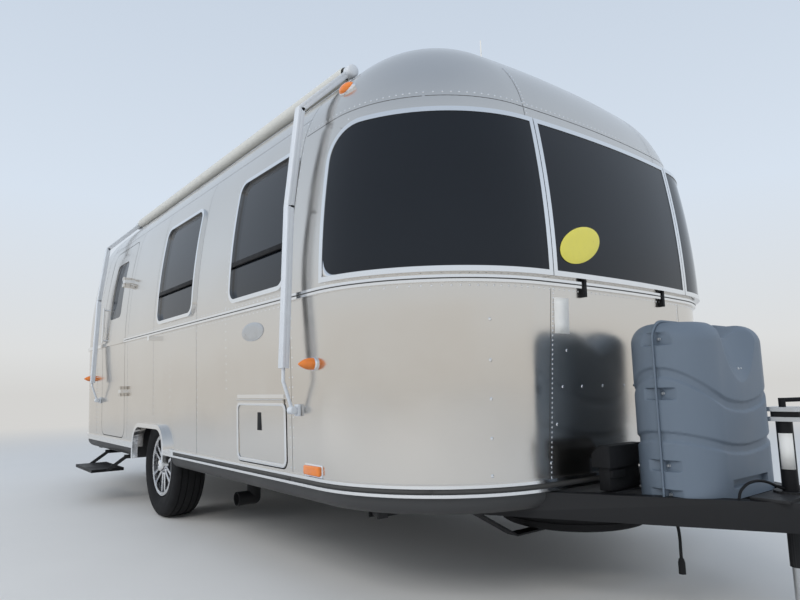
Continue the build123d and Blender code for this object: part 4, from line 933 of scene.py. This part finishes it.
add_piece("arm_end_caps", caps, ARM_PAINT, smooth=40)
add_piece("arm_knuckles", knuckles, ARM_PAINT, smooth=30)

# Lamps

LAMP_BASE = [(-0.004, 0), (-0.004, 0.031), (0.006, 0.031), (0.010, 0.0285), (0.010, 0)]
LAMP_POINT = [(0.009, 0.0268), (0.016, 0.0268), (0.030, 0.0255), (0.044, 0.0220), (0.057, 0.0165),
              (0.068, 0.0100), (0.076, 0.0040), (0.079, 0)]
POINTED_LAMPS = ((1.585, 0.976), (-2.465, 1.006))
FLAT_LAMP = (1.560, 0.524)
FLAT_BASE_HALF = Vector((0.072, 0.004, 0.027))
FLAT_LENS_HALF = Vector((0.066, 0.0085, 0.021))
DOME_LAMP = (1.651, 2.245)
DOME_LIFT = 0.008
DOME_LENS_HALF = (0.055, 0.026, 0.026)
DOME_BASE_HALF = (0.061, 0.028, 0.026)
TAIL_LAMP_Y = 0.840
TAIL_LAMP_HEIGHTS = (0.760, 0.900, 1.040)
TAIL_RIM_R = (0.0640, 0.0530)
TAIL_FACING = (-0.88, 0.47)


def dome(bm, place, half_sizes):
    """An egg-shaped lamp dome."""
    bmesh.ops.create_uvsphere(bm, u_segments=28, v_segments=14, radius=1,
                              matrix=Matrix.Translation(place) @ Matrix.Diagonal((*half_sizes, 1)))


lenses = bmesh.new()
bases = bmesh.new()
for side in (-1, 1):
    for x, z in POINTED_LAMPS:
        place, normal = outline_point(x, z, side)
        turn(bases, LAMP_BASE, place, normal, (1, 0, 0), 40)
        turn(lenses, LAMP_POINT, place, normal, (1, 0, 0), 32)
    place = outline_point(*FLAT_LAMP, side)[0]
    block(bases, place - FLAT_BASE_HALF, place + FLAT_BASE_HALF, 0.003)
    place.y += side * FLAT_LENS_HALF.y
    block(lenses, place - FLAT_LENS_HALF, place + FLAT_LENS_HALF, 0.008, 3)
    place, normal = outline_point(*DOME_LAMP, side)
    dome(lenses, place + normal * DOME_LIFT, DOME_LENS_HALF)
    dome(bases, place, DOME_BASE_HALF)
lens_piece = add_piece("amber_lenses", lenses, AMBER, smooth=40)
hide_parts("side_lamps")
add_piece("lamp_bases", bases, CHROME, smooth=40)

bm = bmesh.new()
for side in (-1, 1):
    for z in TAIL_LAMP_HEIGHTS:
        outer, inner = ([rear_corner(side * (TAIL_LAMP_Y + r * cos(t)), z + r * sin(t), 0.0005)
                         for t in spaced(0, 2 * pi, pi / 20)] for r in TAIL_RIM_R)
        ring_strip(bm, outer, inner, Vector((TAIL_FACING[0], side * TAIL_FACING[1], 0)))
bmesh.ops.remove_doubles(bm, verts=bm.verts, dist=1e-5)
rims = add_piece("tail_lamp_rims", bm, CHROME)
thicken(rims, 0.013, 1)
soften(rims, 0.002)

# Hatch: bright bead round its edge and the dark recess of its catch

HATCH_OUTER = rounded_ring(0.781, 1.324, 0.511, 0.810, 0.042)
HATCH_INNER = rounded_ring(0.799, 1.306, 0.529, 0.792, 0.024)
CATCH_X = (1.022, 1.066)
CATCH_Z = (0.672, 0.760)

bm = bmesh.new()
outer, inner = ([outline_point(x, z, -1, 0.0005)[0] for x, z in ring] for ring in (HATCH_OUTER, HATCH_INNER))
ring_strip(bm, outer, inner, Vector((0, -1, 0)))
bmesh.ops.remove_doubles(bm, verts=bm.verts, dist=1e-5)
bead = add_piece("hatch_bead", bm, TRIM, "hatch", smooth=50)
thicken(bead, 0.005, 1)
soften(bead, 0.0018)
bm = bmesh.new()
y = outline_point(sum(CATCH_X) / 2, sum(CATCH_Z) / 2, -1)[0].y
block(bm, (CATCH_X[0], y - 0.0016, CATCH_Z[0]), (CATCH_X[1], y + 0.006, CATCH_Z[1]), 0.0015)
add_piece("hatch_catch", bm, BLACK_PLASTIC, "hatch")

# Rounded lower rear corners of the wrapped panes

PANE_CORNER = (1.715, 1.331)
PANE_CORNER_R = 0.072
PANE_PROUD = 0.0368

bm = bmesh.new()
x0, z0 = PANE_CORNER
ring = [PANE_CORNER] + [(x0 + PANE_CORNER_R * (1 - cos(t)), z0 + PANE_CORNER_R * (1 - sin(t)))
                        for t in spaced(0, pi / 2, pi / 16)]
for side in (-1, 1):
    corners = [bm.verts.new(outline_point(x, z, side, PANE_PROUD)[0]) for x, z in ring]
    edges = [bm.edges.new(pair) for pair in zip(corners, corners[1:] + corners[:1])]
    drawn = bmesh.ops.contextual_create(bm, geom=edges)
    face_along(drawn["faces"], outline_point(1.735, 1.350, side)[1])
thicken(add_piece("pane_corners", bm, TRIM), 0.006, -1)

# Dark inserts along the front part of the rub rail and the belt rail

# height, width, how far proud, and the rear end on the kerb side and on the street side
RAIL_INSERTS = [(0.4745, 0.020, 0.0114, -0.20, -0.20), (BELT_Z, 0.005, 0.0147, -1.36, -0.20)]

bm = bmesh.new()
for z, width, proud, kerb_x, street_x in RAIL_INSERTS:
    half_turn = corner_reach(z) * sin(pi / 4)
    skin_band(bm, (-CORNER_Y - half_turn, z), (CORNER_Y + half_turn, z), 0, width, proud)
    for side, rear_x in ((-1, kerb_x), (1, street_x)):
        skin_band(bm, (FRONT_SEAM_X, z), (FRONT_AXIS_X + half_turn, z), side, width, proud)
        skin_band(bm, (rear_x, z), (FRONT_SEAM_X, z), side, width, proud)
thicken(add_piece("rail_inserts", bm, SEAM_GAP), 0.0008)

# Window bars, the plain oval plate and film, the labels, the clips and the jack's plates

# side, x from, x to
WINDOW_BARS = [(-1, 0.715, 1.330), (-1, -0.540, 0.125), (1, 0.715, 1.330), (1, -1.150, -0.485)]
BAR_Z = 1.553
# the label round the jack's tube: middle of the tube, radius, heights, direction and half its angle
JACK_X = 2.960
LABEL_R = 0.0287
LABEL_HEIGHTS = (0.541, 0.671)
LABEL_TURN = radians(-69.536)
LABEL_HALF_ANGLE = 0.9
# the jack's plates: half sizes, middle x, heights of their middles
PLATE_HALF = Vector((0.059, 0.045, 0.008))
PLATE_X = 2.974
PLATE_HEIGHTS = (0.7230, 0.7590)
# the label on the front panel: (y, height) of its upper and its lower edge
FRONT_LABEL = ((-0.455, 1.226), (-0.455, 1.076))
CLIP_Y = 0.321
CLIP_Z = (1.236, 1.346)

bars = bmesh.new()
for side, x0, x1 in WINDOW_BARS:
    y = outline_point((x0 + x1) / 2, BAR_Z, side)[0].y
    near, far = sorted((y - side * 0.002, y + side * 0.0115))
    block(bars, (x0 + 0.002, near, BAR_Z - 0.013), (x1 - 0.002, far, BAR_Z + 0.013), 0.002)
add_piece("window_bars", bars, BLACK_PLASTIC)

bm = bmesh.new()
oval_plate(bm, *outline_point(0.980, 1.163, -1), half_wide=0.125, half_high=0.0475, thick=0.004)
add_piece("plain_oval_plate", bm, ZINC)
bm = bmesh.new()
oval_plate(bm, *outline_point(-0.350, 1.456, 0, 0.0345), half_wide=0.142, half_high=0.074, thick=0.0007,
           tilt=0.4)
add_piece("plain_oval_film", bm, YELLOW_FILM)

bm = bmesh.new()
turned = LABEL_TURN - LABEL_HALF_ANGLE
edge = [bm.verts.new((JACK_X + LABEL_R * cos(turned), LABEL_R * sin(turned), z)) for z in LABEL_HEIGHTS]
bmesh.ops.spin(bm, geom=edge + [bm.edges.new(edge)], cent=(JACK_X, 0, 0), axis=(0, 0, 1),
               angle=2 * LABEL_HALF_ANGLE, steps=14)
for face in bm.faces:
    middle = face.calc_center_median()
    face_along([face], middle - Vector((JACK_X, 0, middle.z)))
skin_band(bm, *FRONT_LABEL, side=0, width=0.090, proud=0.0008)
thicken(add_piece("plain_labels", bm, WHITE_PLASTIC), 0.0006)

bm = bmesh.new()
for y in (-CLIP_Y, CLIP_Y):
    x = outline_point(y, 1.30)[0].x
    block(bm, (x - 0.006, y - 0.011, CLIP_Z[0]), (x + 0.020, y + 0.011, CLIP_Z[1]), 0.003)
add_piece("belt_clips", bm, BLACK_PLASTIC)

bm = bmesh.new()
for z in PLATE_HEIGHTS:
    middle = Vector((PLATE_X, 0, z))
    plate = box(bm, middle - PLATE_HALF, middle + PLATE_HALF)
    bevel_edges(bm, [e for e in plate if abs(e.verts[0].co.z - e.verts[1].co.z) > 0.01], 0.019, 6)
add_piece("jack_plates", bm, ZINC)

# Ground and light

HORIZON = (0.66, 0.655, 0.64)
ZENITH = (0.42, 0.50, 0.62)
# the ground fades into the horizon between these two distances
FADE_FROM = 4.5
FADE_TO = 16

floor_bm = bmesh.new()
bmesh.ops.create_grid(floor_bm, x_segments=1, y_segments=1, size=150)
floor_mesh = bpy.data.meshes.new("ground")
floor_bm.to_mesh(floor_mesh)
floor_bm.free()
GROUND = finish("pale_ground", (0.74, 0.725, 0.70), 0.8, spread=0.03, grain=2, bump=0.1, bump_grain=80)
tree = GROUND.node_tree
distance = tree.nodes.new("ShaderNodeVectorMath")
distance.operation = "LENGTH"
tree.links.new(tree.nodes["Texture Coordinate"].outputs["Object"], distance.inputs[0])
fade = ranged(tree, distance.outputs["Value"], FADE_FROM, FADE_TO)
fade.interpolation_type = "SMOOTHSTEP"
haze = tree.nodes.new("ShaderNodeEmission")
haze.inputs["Color"].default_value = (*HORIZON, 1)
blend = tree.nodes.new("ShaderNodeMixShader")
tree.links.new(fade.outputs["Result"], blend.inputs["Fac"])
tree.links.new(tree.nodes["Principled BSDF"].outputs["BSDF"], blend.inputs[1])
tree.links.new(haze.outputs["Emission"], blend.inputs[2])
tree.links.new(blend.outputs["Shader"], tree.nodes["Material Output"].inputs["Surface"])
floor_mesh.materials.append(GROUND)
ground = bpy.data.objects.new("ground", floor_mesh)
scene.collection.objects.link(ground)


def studio_world():
    """A pale studio surround: warm near the floor line and cooler overhead."""
    world = bpy.data.worlds.new("studio")
    scene.world = world
    world.use_nodes = True
    tree = world.node_tree
    base = tree.nodes["Background"]
    place = tree.nodes.new("ShaderNodeTexCoord")
    split = tree.nodes.new("ShaderNodeSeparateXYZ")
    tree.links.new(place.outputs["Generated"], split.inputs["Vector"])
    ramp = tree.nodes.new("ShaderNodeValToRGB")
    ramp.color_ramp.elements[0].position = 0.50
    ramp.color_ramp.elements[0].color = (*HORIZON, 1)
    ramp.color_ramp.elements[1].position = 1.0
    ramp.color_ramp.elements[1].color = (*ZENITH, 1)
    for position, colour in ((0.53, (0.72, 0.73, 0.73, 1)), (0.64, (0.68, 0.76, 0.86, 1))):
        ramp.color_ramp.elements.new(position).color = colour
    height = ranged(tree, split.outputs["Z"], -1, 1)
    tree.links.new(height.outputs["Result"], ramp.inputs["Fac"])
    tree.links.new(ramp.outputs["Color"], base.inputs["Color"])
    base.inputs["Strength"].default_value = 1.0


studio_world()


def area_light(name, place, target, size, power, colour=(1, 1, 1)):
    """A soft square lamp aimed at a point."""
    data = bpy.data.lights.new(name, "AREA")
    data.size = size
    data.energy = power
    data.color = colour
    lamp = bpy.data.objects.new(name, data)
    lamp.location = place
    lamp.rotation_euler = (Vector(target) - Vector(place)).to_track_quat("-Z", "Y").to_euler()
    lamp.visible_glossy = False
    scene.collection.objects.link(lamp)


area_light("key_lamp", (5.5, -7.0, 6.5), (0.5, 0, 1.0), 4.0, 290, (1, 0.97, 0.92))
area_light("side_lamp", (-4.0, -8.0, 4.0), (-1.0, 0, 1.2), 4.0, 170)
area_light("rim_lamp", (6.0, 6.0, 5.0), (1.0, 0, 1.2), 4.0, 110, (0.9, 0.95, 1))
